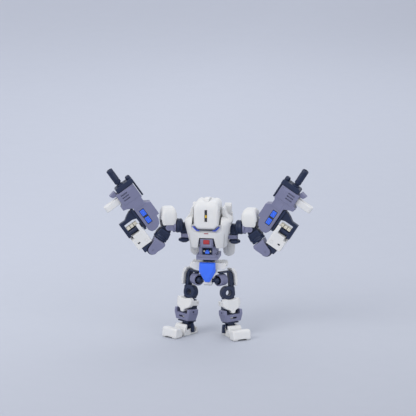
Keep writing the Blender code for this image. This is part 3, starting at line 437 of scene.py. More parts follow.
class Graph:
    """Short calls for building one material's nodes."""

    def __init__(self, name):
        self.material = bpy.data.materials.new(name)
        self.material.use_nodes = True
        self.tree = self.material.node_tree
        self.shader = self.tree.nodes["Principled BSDF"]

    def node(self, kind, **values):
        made = self.tree.nodes.new(kind)
        for key, value in values.items():
            if key in made.inputs:
                made.inputs[key].default_value = value
            else:
                setattr(made, key, value)
        return made

    def link(self, source, target):
        self.tree.links.new(source, target)

    def noise(self, scale, detail=3.0, roughness=0.55):
        where = self.node("ShaderNodeTexCoord")
        made = self.node("ShaderNodeTexNoise", Scale=scale, Detail=detail, Roughness=roughness)
        self.link(where.outputs["Object"], made.inputs["Vector"])
        return made.outputs["Fac"]

    def ramp(self, source, stops):
        made = self.node("ShaderNodeValToRGB")
        elements = made.color_ramp.elements
        while len(elements) < len(stops):
            elements.new(0.5)
        for element, (position, colour) in zip(elements, stops):
            element.position = position
            element.color = (*colour, 1.0)
        self.link(source, made.inputs["Fac"])
        return made.outputs["Color"]

    def spread(self, source, low, high, start=0.3, end=0.7):
        made = self.node("ShaderNodeMapRange")
        for key, value in (("From Min", start), ("From Max", end), ("To Min", low), ("To Max", high)):
            made.inputs[key].default_value = value
        self.link(source, made.inputs["Value"])
        return made.outputs["Result"]

    def mix(self, factor, first, second):
        made = self.node("ShaderNodeMix", data_type="RGBA", blend_type="MIX")
        for socket, value in ((made.inputs[0], factor), (made.inputs[6], first), (made.inputs[7], second)):
            if isinstance(value, bpy.types.NodeSocket):
                self.link(value, socket)
            elif isinstance(value, tuple):
                socket.default_value = (*value, 1.0)
            else:
                socket.default_value = value
        return made.outputs[2]


def scaled(colour, factor):
    return tuple(c * factor for c in colour)


def plastic(name, colour, roughness, glow=0.0, tint=None, grain=0.02, gloss=0.5):
    """Moulded plastic: cloudy pigment, fine grain, rubbed edges, painted shade in the corners, uneven polish.
    """
    g = Graph(name)
    cloud = g.noise(140.0, 3.0)
    speck = g.noise(2600.0, 2.0)
    tint = tint or scaled(colour, 0.93)
    pigment = g.ramp(cloud, [(0.32, tint), (0.68, colour)])
    pigment = g.mix(g.spread(speck, 0.0, 0.10), pigment, scaled(colour, 0.82))
    geometry = g.node("ShaderNodeNewGeometry")
    rubbed = g.spread(geometry.outputs["Pointiness"], 0.0, 0.30, 0.53, 0.62)
    worn = tuple(min(1.0, c * 1.25 + 0.03) for c in colour)
    pigment = g.mix(rubbed, pigment, worn)
    # painted shade: ambient occlusion darkens the colour in corners and crevices where shade falls
    corner = g.node("ShaderNodeAmbientOcclusion", samples=6, Distance=1.2 * MM)
    shade = g.spread(corner.outputs["AO"], 0.55, 0.0, 0.25, 0.85)
    pigment = g.mix(shade, pigment, scaled(colour, 0.45))
    g.link(pigment, g.shader.inputs["Base Color"])
    polish = g.noise(420.0, 4.0, 0.6)
    g.link(g.spread(polish, roughness - 0.06, roughness + 0.10), g.shader.inputs["Roughness"])
    fine = g.noise(5200.0, 2.0)
    broad = g.noise(260.0, 2.0)
    grainy = g.node("ShaderNodeBump", Strength=0.22, Distance=grain * MM)
    wavy = g.node("ShaderNodeBump", Strength=0.25, Distance=0.05 * MM)
    g.link(fine, grainy.inputs["Height"])
    g.link(broad, wavy.inputs["Height"])
    g.link(wavy.outputs["Normal"], grainy.inputs["Normal"])
    g.link(grainy.outputs["Normal"], g.shader.inputs["Normal"])
    g.shader.inputs["Specular IOR Level"].default_value = gloss
    if glow:
        g.shader.inputs["Subsurface Weight"].default_value = glow
        g.shader.inputs["Subsurface Radius"].default_value = (1.0, 0.9, 0.8)
        g.shader.inputs["Subsurface Scale"].default_value = 0.6 * MM
    return g.material


def floor_material():
    """Seamless pale paper: blue-grey with a faint mottle; its brightness is painted light, a little lighter
    around the object and far back, darker at the front and darker from left to right.
    """
    g = Graph("studio_paper")
    where = g.node("ShaderNodeTexCoord")
    parts = g.node("ShaderNodeSeparateXYZ")
    g.link(where.outputs["Object"], parts.inputs["Vector"])
    # painted light along the floor's depth: darker at the front, lighter around the object, lighter still far
    # back
    depth = g.ramp(g.spread(parts.outputs["Y"], 0.0, 1.0, -0.6, 2.2),
                   [(0.143, FLOOR_FRONT), (0.214, FLOOR_NEAR), (0.282, FLOOR_PAINTED_GLOW), (1.0, FLOOR_FAR)])
    # painted light fall-off: the floor darkens from the left of the picture to its right
    painted_side_falloff = g.spread(parts.outputs["X"], 0.0, FLOOR_FALL, -0.16, 0.16)
    left = g.mix(painted_side_falloff, depth, (0.0, 0.0, 0.0))
    mottle = g.mix(g.spread(g.noise(30.0, 2.0), 0.0, 0.05), left, scaled(FLOOR_NEAR, 0.9))
    g.link(mottle, g.shader.inputs["Base Color"])
    g.link(g.spread(g.noise(90.0, 3.0), 0.75, 0.9), g.shader.inputs["Roughness"])
    bump = g.node("ShaderNodeBump", Strength=0.1, Distance=0.05 * MM)
    g.link(g.noise(900.0, 3.0), bump.inputs["Height"])
    g.link(bump.outputs["Normal"], g.shader.inputs["Normal"])
    g.shader.inputs["Specular IOR Level"].default_value = 0.2
    return g.material


WHITE = (0.70, 0.697, 0.685)
# the belly studs' own colour; on the white fingers it is painted light, a warm reflection in their shaded
# inner faces spread over the whole piece
CREAM = (0.62, 0.585, 0.48)
GREY = (0.18, 0.187, 0.298)
DARK = (0.011, 0.0215, 0.062)
BLUE = (0.045, 0.17, 0.92)
DEEP_BLUE = (0.012, 0.05, 0.45)
RED = (0.36, 0.02, 0.03)
YELLOW = (0.65, 0.42, 0.03)
BLACK = (0.008, 0.008, 0.014)
# Floor colours from front to back; the steps between them are painted light and shade, not the paper's own
# colour
FLOOR_NEAR = (0.515, 0.54, 0.605)
FLOOR_PAINTED_GLOW = (0.535, 0.56, 0.63)
FLOOR_FRONT = (0.448, 0.468, 0.53)
FLOOR_FAR = (0.585, 0.61, 0.69)
FLOOR_FALL = 0.11  # painted light fall-off: share of brightness taken off from the left of the picture to its right

PLASTICS = {
    "white": plastic("white_plastic", WHITE, 0.42, glow=0.18, tint=(0.665, 0.667, 0.67)),
    "cream": plastic("cream_and_painted_warm_reflection", CREAM, 0.45, glow=0.12, tint=(0.66, 0.64, 0.55)),
    "grey": plastic("grey_plastic", GREY, 0.46, glow=0.05),
    "dark": plastic("dark_plastic", DARK, 0.44, tint=scaled(DARK, 0.75), gloss=0.38),
    "blue": plastic("blue_plastic", BLUE, 0.36, glow=0.05),
    "trim_blue": plastic("deep_blue_paint", DEEP_BLUE, 0.34),
    "lens": plastic("blue_lamp", (0.03, 0.15, 0.88), 0.16, gloss=0.7, grain=0.006),
    "red": plastic("red_paint", RED, 0.38),
    "yellow": plastic("yellow_paint", YELLOW, 0.35),
    "eye": plastic("gloss_black", BLACK, 0.18, gloss=0.7, grain=0.006),
}


# ---------------------------------------------------------------- finishing


def place_piece(shape, name, material, body, place, nodes=(), edge=0.0, segments=3, details=(), raised=()):
    """Rounds a shape's edges, cuts its details, and hangs it on its body in the shared frame."""
    bm = bmesh.new()
    bm.from_mesh(shape.data)
    bmesh.ops.remove_doubles(bm, verts=bm.verts, dist=WELD)
    bmesh.ops.dissolve_limit(bm, angle_limit=math.radians(FLAT), verts=bm.verts, edges=bm.edges)
    bm.to_mesh(shape.data)
    bm.free()
    shape.name = name
    if edge:
        rounded(shape, edge, segments)
    if raised:
        join(shape, *[rounded(bit, RAISED_ROUND, 2) for bit in raised])
    if details:
        cut(shape, together(*details))
    mesh = shape.data
    mesh.transform(place)
    bm = bmesh.new()
    bm.from_mesh(mesh)
    bmesh.ops.recalc_face_normals(bm, faces=bm.faces)
    bm.to_mesh(mesh)
    bm.free()
    mesh.name = name
    mesh.materials.clear()
    mesh.materials.append(PLASTICS[material])
    mesh.shade_smooth()
    mesh.set_sharp_from_angle(angle=math.radians(SMOOTH))
    normals = shape.modifiers.new("face_normals", "WEIGHTED_NORMAL")
    normals.weight = FACE_WEIGHT
    normals.keep_sharp = True
    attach(shape, body)
    if nodes:
        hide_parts(*nodes)


class Limbs:
    def __init__(self, label):
        self.label = label
        self.frames = FRAMES[label]

    def cad(self, node, at):
        return cad_shape(f"{node}_{self.label}", self.frames[at])

    def place(self, shape, name, material, body, at, node="", edge=0.0, segments=3, **extras):
        nodes = [f"{node}_{self.label}"] if node else ()
        place_piece(shape, f"{name}_{self.label}", material, f"{body}_{self.label}", self.frames[at],
                    nodes, edge, segments, **extras)


# ---------------------------------------------------------------- pelvis and waist


def pelvis():
    grooves = [block(across(side, 6.9, 7.05), (-5, 4.6), (41.45, 42)) for side in (1, -1)]
    place_piece(cad_shape("pelvis_block", KIT), "pelvis_skin", "white", "pelvis", KIT, ["pelvis_block"],
                0.5, details=grooves)
    hinge = upright("skirt_flap")
    outline = [(-4.4, 0.9), (4.4, 0.9), (4.6, -4.2), (1.3, -10), (-1.3, -10), (-4.6, -4.2)]
    face = [(-3.9, 0.45), (3.9, 0.45), (3.3, -3.3), (0.35, -7.8), (-0.35, -7.8), (-3.3, -3.3)]
    shield = loft([[(x, y, z) for x, z in ring]
                   for y, ring in ((1.2, outline), (-0.1, outline), (-1.4, face))])
    join(shield, block((-1.9, 1.9), (0.4, 2.2), (-1.6, 0.5)))
    place_piece(shield, "front_skirt_skin", "blue", "skirt", hinge, ["front_skirt"], 0.16)


def waist():
    spindle = turned("Z", PIVOT, [(1.9, 39), (1.9, 42.2), (3.5, 42.2), (3.7, 42.45), (3.7, 43.2),
                                  (3.5, 43.4)])
    join(spindle, block((-1.6, 1.6), (-1.8, 1.8), (43, 46.3)), rod("X", (0, 44.9), PIN, (-3, 3)))
    place_piece(spindle, "waist_spindle", "dark", "waist", KIT, ["waist_joint"], 0.15)


def belly():
    body = cad_shape("belly_block", KIT)
    details = [block((-7, 7), (-8.6, -8.05), (45.1, 45.25))]
    for side in (1, -1):
        details += [block(across(side, 3, 3.12), (-12, -10.2), (51.6, 57)),
                    block(across(side, 3.6, 5.4), (-7.7, -7.05), (47.3, 47.45)),
                    rod("Y", (side * 5.1, 45.9), 0.3, (-9, -8), 16)]
    place_piece(body, "belly_skin", "grey", "torso", KIT, ["belly_block"], 0.28, details=details)
    liner = cut(block((-2.64, 2.64), (-7.6, -4.7), (46.96, 50.6)),
                block((-2.3, 2.3), (-9, -5.2), (47.2, 50.3)))
    place_piece(liner, "belly_bay_liner", "dark", "torso", KIT)
    core = join(block((-1.2, 1.2), (-7.2, -5), (47.1, 48.5)), block((-0.7, 0.7), (-6.8, -5), (48.2, 49.2)))
    place_piece(core, "belly_core", "blue", "torso", KIT, edge=0.12)
    studs = together(*[turned("Y", (x, 48.5), [(0.55, -5), (0.55, -6.9), (0.42, -7.1)], FINE)
                       for x in (-1.8, 1.8)])
    place_piece(studs, "belly_studs", "cream", "torso", KIT, edge=0.08)
    badge = prism("X", [(-10, 53.26), (-10.92, 53.26), (-10.95, 54.2), (-10.6, 55.54), (-10, 55.54)],
                  (-1.64, 1.64))
    place_piece(badge, "belly_badge", "red", "torso", KIT, edge=0.14)


# ---------------------------------------------------------------- torso

TORSO_SECTIONS = [  # height, half width, front, back
    (50.6, 9.8, -8.6, 6.4),
    (57, 11.3, -10.6, 7.6),
    (63, 12.7, -11.5, 8),
    (65.2, 13.1, -11.2, 8),
    (66.4, 12.3, -10.8, 7.8),
    (68, 9.6, -10, 7.4),
]
RING_STEPS = 88
FAIRING = [  # the shoulder's slope up beside the canopy: half width and height
    (8.05, 62), (8.05, 73), (8.8, 73), (9.4, 72), (9.6, 70.6), (10.1, 69.2), (11.1, 67.7), (12.4, 66.3),
    (12.4, 62),
]


def torso_body(inset=0):
    rings = []
    for height, half, front, back in TORSO_SECTIONS:
        ring = []
        for i in range(RING_STEPS):
            angle = 2 * math.pi * (i + 0.5) / RING_STEPS
            c, s = math.cos(angle), math.sin(angle)
            depth = (back if s > 0 else -front) - inset
            x = (half - inset) * math.copysign(math.sqrt(abs(c)), c)
            ring.append((x, depth * math.copysign(math.sqrt(abs(s)), s), height))
        rings.append(ring)
    return loft(rings)


def skin_groove(slab):
    """The part of a slab that lies within a hair of the torso's surface."""
    return cut(slab, torso_body(0.28))


def hatch_outline(grow, top=None):
    """Ring round the canopy, its upper corners round and its lower ones cut off."""
    half = HATCH_HALF + grow
    low = CHIN_Z - grow
    corner = 3
    chamfer = 2.2 + grow * 0.4
    top = (top or HATCH_TOP_Z) + grow
    points = [(-half + chamfer, low), (half - chamfer, low), (half, low + chamfer)]
    points += circle((half - corner, top - corner), corner, 12, 0, 90)
    points += circle((-half + corner, top - corner), corner, 12, 90, 90)
    points.append((-half, low + chamfer))
    return points


def shoulder_recess(side):
    outline = [(10.7, -3.6), (15.5, -5.2), (15.5, 6.2), (10.7, 4.6)]
    return prism("Z", [(side * x, y) for x, y in outline], (48, 63.6))


def torso_front():
    shell = keep(torso_body(), block((-20, 20), (-20, 1.2), (40, 80)))
    floor = CHIN_Z - 0.3
    well = prism("Y", [(x, max(z, floor)) for x, z in hatch_outline(1.1)], (-20, 5))
    lip_seat = block((-8.35, 8.35), (-20, -10.4), (59.9, 64.2))
    tub = block((-5.2, 5.2), (-8.2, -0.8), (57, 64))
    notch = prism("Y", [(-4, 56.5), (4, 56.5), (5.6, 48), (-5.6, 48)], (-20, -3.6))
    inside = block(BAY_X, (-4.2, 8), BAY_Z)
    cut(shell, well, lip_seat, tub, notch, inside, shoulder_recess(1), shoulder_recess(-1))
    details = [block((-1.25, 1.25), (-12, -10.6), (58.9, 59.45))]
    for side in (1, -1):
        ends = [(8.9, 50), (9.05, 50), (9.95, 59), (9.8, 59)]
        details.append(skin_groove(prism("Y", [(side * x, z) for x, z in ends], (-14, -5))))
    details.append(skin_groove(block((-14, 14), (-4, 1.4), SEAM_Z)))
    place_piece(shell, "torso_front_skin", "white", "torso", KIT, ["torso_front_shell"], 0.3,
                details=details)
    dash = block((-1.15, 1.15), (-11, -10.62), (58.97, 59.38))
    place_piece(dash, "chest_dash", "red", "torso", KIT, edge=0.06)
    for label, side in SIDES.items():
        outline = softened([(side * x, z) for x, z in FAIRING], 0.6, 4)
        place_piece(prism("Y", outline, (-5.4, 1.1)), f"shoulder_fairing_{label}", "white", "torso", KIT,
                    edge=0.3)


def torso_back():
    shell = keep(torso_body(), block((-20, 20), (1.5, 20), (40, 80)))
    front = 1.5
    corner = 1.2
    rings = []
    for z, half, back in ((60, 6.9, 6.6), (71, 6.7, 6.2), (74.2, 6, 5.2), (75.6, 4.6, 3.8)):
        right = [(half, front), (half, back - corner), (half - corner, back)]
        left = [(-x, y) for x, y in reversed(right)]
        rings.append([(x, y, z) for x, y in right + left])
    headrest = loft(rings)
    for s in HATCH_LUGS:
        join(headrest, lug("X", HATCH_PIN, 0.8, 2.2, -38, (s - 0.4, s + 0.4)))
    cut(headrest, rod("X", HATCH_PIN, HATCH_PIN_RADIUS + RUNNING, (-5, 5)))
    pack = block((-5.6, 5.6), (5, 9.2), (54, 68))
    hinge_lug = block((-2.4, 2.4), (8, 12.9), (60.2, 64))
    join(shell, headrest, pack, hinge_lug)
    cut(shell, block(BAY_X, (-4.2, 5.6), BAY_Z), shoulder_recess(1), shoulder_recess(-1))
    cut(shell, rod("X", (11, 62.1), PIN + RUNNING, (-4, 4)))
    details = [skin_groove(block((-14, 14), (1.4, 8.7), SEAM_Z))]
    for i in range(4):
        z = 55.2 + i * 0.95
        details.append(block((-3.4, 3.4), (8.75, 10), (z, z + 0.4)))
    for side in (1, -1):
        details.append(block(across(side, 4.4, 4.55), (9, 10), (53, 69)))
        details += [rod("Y", (side * 5, z), 0.32, (9, 10), 16) for z in (66.8, 55.2)]
    place_piece(shell, "torso_back_skin", "white", "torso", KIT, ["torso_back_shell"], 0.35,
                details=details)


def cockpit():
    """A moulded seat and a small console in the tub under the canopy, below the canopy's sweep."""
    seat = block((-2.6, 2.6), (-5.4, -1.6), (57.25, 58.5))
    join(seat, prism("X", [(-2.6, 58.3), (-1.2, 58.3), (-1.1, 61.1), (-1.9, 61.1)], (-2.2, 2.2)))
    join(seat, block((-3, -2.4), (-5.2, -1.8), (57.3, 59.4)), block((2.4, 3), (-5.2, -1.8), (57.3, 59.4)))
    place_piece(seat, "cockpit_seat", "dark", "torso", KIT, edge=0.2)
    console = prism("X", [(-8, 57.2), (-6.4, 57.2), (-6.6, 59.4), (-8, 60.6)], (-3.6, 3.6))
    for x in (-2.2, 0, 2.2):
        cut(console, turned_by(block((x - 0.7, x + 0.7), (-7.9, -6.4), (59.6, 60.4)), "X", -38,
                               (x, -7.3, 60)))
    place_piece(console, "cockpit_console", "grey", "torso", KIT, edge=0.12)


def canopy():
    """A box with rolled front edges whose top bows down into the front, open behind."""
    flat_end, nose, roll = -7.2, -12.3, 1.55
    steps = 10
    sections = [(0.9, 0, HATCH_TOP_Z), (flat_end, 0, HATCH_TOP_Z)]
    for i in range(1, steps + 1):
        a = math.radians(90 * i / steps)
        y = flat_end + (nose - flat_end) * math.sin(a)
        t = max(0, (nose + roll - y) / roll)
        grow = -roll * (1 - math.sqrt(max(0, 1 - t * t)))
        sections.append((y, grow, HATCH_TOP_Z - 3.6 * (1 - math.cos(a)) ** 1.2))
    sections.append((nose, -roll - 0.7, HATCH_TOP_Z - 3.6))
    hatch = loft([[(x, y, z) for x, z in hatch_outline(grow, top)] for y, grow, top in sections])
    crest = rounded(prism("X", softened([(-10.3, 74), (-9.9, 77.4), (-8.6, 78.5), (-5, 78.55), (0.5, 77.6),
                                         (0.5, 74)], 0.9), (-1.3, 1.3)), 0.4)
    join(hatch, crest)
    inside = [(-5.2, 60), (5.2, 60), (5.3, 70.5), (3.6, 73.4), (-3.6, 73.4), (-5.3, 70.5)]
    cut(hatch, prism("Y", inside, (-10.2, -0.9)), block((-0.75, 0.75), (-14, -11), (66, 72.6)))
    for s in HATCH_LUGS:
        cut(hatch, block((s - 0.65, s + 0.65), (-0.7, 2), (74.6, 80)))
        join(hatch, rod("X", HATCH_PIN, HATCH_PIN_RADIUS, (s - 0.8, s + 0.8)))
    details = []
    for side in (1, -1):
        details += [block(across(side, HATCH_HALF - 0.15, 7.6), (-5.6, -5.45), (63.5, 73.5)),
                    block(across(side, HATCH_HALF - 0.2, 7.6), (-8.6, -7), (70.6, 70.9))]
    place_piece(hatch, "canopy_skin", "white", "hatch", KIT, ["canopy_hatch"], details=details)
    bar = block((-0.62, 0.62), (-12.02, -11.1), (66.15, 72.45))
    place_piece(bar, "sensor_bar", "eye", "hatch", KIT, ["hatch_sensor"], 0.1)
    lamp = block((-0.5, 0.5), (-12.14, -11.8), (68.2, 69.7))
    place_piece(lamp, "sensor_lamp", "yellow", "hatch", KIT, edge=0.1)


def chin():
    def lip(inner, outer, front):
        ring = cut(prism("Y", hatch_outline(outer), (front, -10.8)),
                   prism("Y", hatch_outline(inner), (-14, -8)))
        return keep(ring, block((-9, 9), (-13, -10), (55, CHIN_Z + 1.5)))
    blue = cut(lip(0.3, 0.95, -11.95), block((-3.7, 3.7), (-13, -8), (55, 70)))
    place_piece(blue, "chin_trim_corners", "trim_blue", "torso", KIT, ["chin_trim"], 0.1)
    middle = keep(lip(0.32, 0.7, -11.7), block((-3.6, 3.6), (-13, -8), (55, 70)))
    place_piece(middle, "chin_shadow_strip", "dark", "torso", KIT, edge=0.06)


# ---------------------------------------------------------------- boosters


def boosters():
    """Twin posts on a cross bar, measured from the bar's own hinge."""
    pod_x, pod_y, pod_z = 9, 0.2, -1.2
    outline = [(-1.9, -1.6), (2.3, -1.6), (2.3, 7.2), (1.2, 10.4), (-1, 10.4), (-1.9, 9)]
    bar = rounded(block((-9.8, 9.8), (-1.5, 2.9), (-2.2, 1.8)), 0.25)
    details = []
    for side in (1, -1):
        post = rounded(prism("X", softened(outline, 0.5, 4), across(side, 7, 10.8)), 0.4)
        socket = rounded(block(across(side, 6.6, 11.4), (-1.7, 2.1), (1, 5.2)), 0.25)
        join(bar, post, socket)
        details += [block(across(side, 8, 9.8), (2.15, 3.4), (z, z + 0.2)) for z in (5.9, 6.6)]
    cut(bar, block((-2.75, 2.75), (-4, 2.2), (-3, 3)))
    bridge = rounded(block((-4.6, 4.6), (2.5, 3.7), (-2, 1.6)), 0.25)
    join(bar, bridge, rod("X", PIVOT, PIN, (-3.5, 3.5)))
    for side in (1, -1):
        cut(bar, block(across(side, pod_x - 1.15, pod_x + 1.15), (-3, 4.5), (-3, 0.3)))
        join(bar, rod("X", (pod_y, pod_z), 0.7, across(side, pod_x - 1.6, pod_x + 1.6)))
    place_piece(bar, "booster_frame_skin", "white", "boosters", upright("booster_tilt"), ["booster_frame"],
                details=details)


def booster_pod(limbs):
    steps = 9
    quarter = [math.radians(90 * i / steps) for i in range(steps + 1)]
    profile = [(POD_RADIUS * math.sin(a), -15.3 - 3.3 * math.cos(a)) for a in quarter]
    profile += [(POD_RADIUS, -12.6), (POD_WAIST, -12.5), (POD_WAIST, -12.3), (POD_RADIUS, -12.2),
                (POD_RADIUS, -9)]
    profile += [(1.2 + (POD_RADIUS - 1.2) * math.cos(a), -9 + 4.1 * math.sin(a)) for a in quarter[1:]]
    profile.append((0, -4.85))
    pod = turned("Z", (0.3, 0.6), profile)
    join(pod, lug("X", PIVOT, 1.15, 6, 270, (-0.8, 0.8)))
    cut(pod, rod("X", PIVOT, 0.9, (-2, 2)))
    cut(pod, block((-1.6, 2.2), (3.6, 5), (-15.1, -10)))
    limbs.place(pod, "booster_pod_skin", "white", "pod", "pod", "booster_pod")


# ---------------------------------------------------------------- shoulder and arm


def shoulder(limbs):
    x, y, height = SHOULDER
    collar = block((9.9, x), (y - 2, y + 2), (COLLAR_LOW, COLLAR_HIGH))
    join(collar, rod("Z", (x, y), 2, (COLLAR_LOW, COLLAR_HIGH), ROUND))
    cut(collar, rod("Z", (x, y), 1.2 + RUNNING, (50, 60)), block((5, 10.75), (-5, 6), (50, 60)))
    place_piece(collar, f"shoulder_collar_skin_{limbs.label}", "grey", "torso", limbs.frames["torso"],
                [f"shoulder_collar_{limbs.label}"], 0.2)
    low = KNOB_LOW - height
    top = COLLAR_LOW - 0.3 - height
    neck_low = COLLAR_HIGH + 0.3 - height
    drum = turned("X", PIVOT, [(3.3, DRUM_OUT - 1.9), (DRUM_RADIUS, DRUM_OUT - 1.4),
                               (DRUM_RADIUS, DRUM_OUT - 0.5), (3.7, DRUM_OUT - 0.35),
                               (3.7, DRUM_OUT - 0.1), (DRUM_RADIUS, DRUM_OUT + 0.05),
                               (DRUM_RADIUS, DRUM_OUT + 1.4), (3.5, DRUM_OUT + 1.8)])
    rounded(drum, 0.15)
    outline = [(-2.2, neck_low), (2.2, neck_low), (2.2, 0.6), (1.4, 1.6), (-1.4, 1.6), (-2.2, 0.6)]
    neck = rounded(prism("X", outline, (-1.9, 2.6)), 0.3)
    knob = rounded(turned("Z", (0.2, 0), [(1.6, low), (3.3, low + 0.9), (3.3, top - 0.6), (2.3, top)], 6),
                   0.3)
    boss = turned("Y", (-0.6, -0.9), [(1.15, -1.8), (1.15, -2.5), (0.95, -2.65)], FINE)
    join(drum, neck, knob, boss, rod("Z", PIVOT, 1.2, (low + 1, neck_low + 0.7)))
    cut(drum, rod("X", PIVOT, ARM_PIN + RUNNING, (DRUM_OUT - 3, DRUM_OUT + 4)))
    cut(drum, rod("Y", (-0.6, -0.9), 0.5, (-2.45, -4)))
    limbs.place(drum, "shoulder_yoke_skin", "dark", "shoulder", "yoke", "shoulder_yoke")


def bracket(limbs):
    plate = rounded(rod("X", PIVOT, 3.6, (2.1, 3.4), ROUND), 0.2)
    outline = [(2.6, 3), (2.6, -2.6)] + circle(RAISE_PIN, 1.65, FINE, -110, 190)
    for face in (-1, 1):
        join(plate, rounded(prism("Y", outline, across(face, CHEEK_IN, 3)), 0.18))
    join(plate, rod("X", PIVOT, ARM_PIN, (-2.1, 2.6)), rod("Y", RAISE_PIN, PIN, (-2.4, 2.4)))
    join(plate, block((2.35, 3.25), (-0.9, 0.9), (2.8, 5.8)))
    for face in (-1, 1):
        cut(plate, rod("Y", RAISE_PIN, 0.75, across(face, 2.85, 3.5)))
        join(plate, rounded(rod("Y", RAISE_PIN, 0.5, across(face, 2.6, 2.95)), 0.06, 2))
    limbs.place(plate, "arm_bracket_skin", "grey", "bracket", "drum", "arm_bracket")
    shoulder_pad(limbs)


def arm(limbs):
    tongue = lug("Y", PIVOT, 2.4, 2, 0, (-TONGUE, TONGUE))
    inside = COLLAR_X + 0.4
    flare = prism("Y", [(0.9, -2.6), (inside, -3.9), (inside, 3.9), (2.6, 3.5), (0.9, 2.6)], (-1.3, 1.3))
    body = rounded(prism("Y", [(2.2, -3), (inside, -3.7), (inside, 3.7), (3, 3.4), (2.2, 2.8)], (-3, 3)),
                   0.25)
    collar = turned("X", PIVOT, [(3.7, COLLAR_X), (4.05, COLLAR_X + 0.35), (4.05, COLLAR_X + 1.1),
                                 (3.85, COLLAR_X + 1.25), (3.85, COLLAR_X + 1.45), (4.05, COLLAR_X + 1.6),
                                 (4.05, COLLAR_END - 0.35), (3.7, COLLAR_END)])
    join(rounded(tongue, 0.15), rounded(flare, 0.15), body, rounded(collar, 0.12))
    cut(tongue, rod("Y", PIVOT, PIN + RUNNING, (-4, 4)), rod("X", PIVOT, ARM_PIN + RUNNING, (4.4, 12)))
    panels = [prism("Y", softened([(3.3, -2.3), (4.9, -2.6), (4.9, 2.6), (3.3, 2.4)], 0.25, 3),
                    across(face, 2.75, 4)) for face in (-1, 1)]
    limbs.place(tongue, "upper_arm_skin", "dark", "upper_arm", "upper_arm", "upper_arm", details=panels)
    start = COLLAR_END + 0.3
    outline = [(start + 2, 2.5), (start, 3.2), (start, -3.9), (start + 1.2, -4.3), (start + 3, -3.9)]
    outline += circle((UPPER_ARM, 0), 2.6, FINE, -95, 190)
    fork = prism("Y", outline, (-3.6, 3.6))
    for face in (-1, 1):
        cut(fork, prism("Z", [(start - 1, face * 2.9), (start + 2.2, face * 3.7), (start - 1, face * 4.4)],
                        (-6, 6)))
    rounded(fork, 0.3)
    cut(fork, block((UPPER_ARM - 3.35, UPPER_ARM + 6), (-CHEEK_IN, CHEEK_IN), (-6, 6)))
    join(fork, rod("X", PIVOT, ARM_PIN, (4.8, start + 1)), rod("Y", (UPPER_ARM, 0), PIN, (-2.4, 2.4)))
    dots = [rod("Y", (UPPER_ARM, 0), 0.5, across(face, 3.35, 4.2), DOT) for face in (-1, 1)]
    limbs.place(fork, "elbow_housing_skin", "grey", "elbow_fork", "upper_arm", "elbow_housing",
                details=dots)


def shoulder_pad(limbs):
    """A dome of rounded rings, open below and at its front towards the arm."""
    levels = []
    for low, high in zip(PAD_SECTIONS, PAD_SECTIONS[1:]):
        for i in range(3):
            t = i / 3
            levels.append([a + (b - a) * t for a, b in zip(low, high)])
    levels.append(list(PAD_SECTIONS[-1]))
    for _ in range(2):
        levels[1:-1] = [[(a + 2 * b + c) / 4 for a, b, c in zip(*trio)]
                        for trio in zip(levels, levels[1:], levels[2:])]
    rings = []
    for z, x0, x1, y0, y1 in levels:
        corner = min(1.9, (x1 - x0) * 0.4, (y1 - y0) * 0.4)
        rings.append([(x, y, z) for x, y in softened([(x0, y0), (x1, y0), (x1, y1), (x0, y1)], corner, 5)])
    pad = loft(rings)
    cut(pad, block((0, 12), (-3.15, 4.2), (-4, 4)), block((0, 12), (-6, -3), (-4, 0.9)))
    cut(pad, block((2.05, 3.55), (-1.2, 1.2), (3, 6.1)))
    limbs.place(pad, "shoulder_pad_skin", "white", "bracket", "drum", "shoulder_pad", 0.3)


def forearm(limbs):
    tongue = rounded(rod("Y", PIVOT, 3.1, (-TONGUE, TONGUE), ROUND), 0.15)
    inner = circle(PIVOT, 3.15, FINE, -66, 76)
    wrist = rounded(prism("Y", [(4.3, 1), (4.3, -4.4), (1.4, -4.4)] + inner, (-3.2, 3.2)), 0.25)
    join(tongue, block((0, 4), (-TONGUE, TONGUE), (-2.7, 0.9)), wrist)
    cut(tongue, rod("Y", PIVOT, PIN + RUNNING, (-4, 4)))
    cut(tongue, rod("X", (0, WRIST_Z), 1.15 + RUNNING, (1.9, 8)))
    limbs.place(tongue, "forearm_skin", "dark", "forearm", "elbow", "forearm_core")


def hand(limbs):
    socket = softened([(7.2, -4.4), (8.4, -4.7), (8.2, -3.1), (7.5, -3)], 0.3, 3)
    ring = cut(rod("Y", (6.9, 0.4), 0.95, (-4, -3.4)), rod("Y", (6.9, 0.4), 0.8, (-5, -3)))
    limbs.place(limbs.cad("palm", "elbow"), "palm_skin", "white", "hand", "elbow", "palm", 0.35,
                details=[prism("Y", socket, (-4, -2.6)), ring])
    limbs.place(prism("Y", socket, (-2.95, -2.5)), "palm_socket", "eye", "hand", "elbow")
    seams = [block(x, y, (low, low + 0.18)) for low in (-2.7, -0.6)
             for x, y in (((12.6, 17), (3.48, 4)), ((18.08, 19), (-0.9, 2.4)))]
    # the cream finish on the fingers is painted light: a warm reflection in their shaded inner faces
    limbs.place(limbs.cad("fingers", "elbow"), "fingers_skin", "cream", "fingers", "elbow", "fingers", 0.3,
                details=seams)


# ---------------------------------------------------------------- blaster


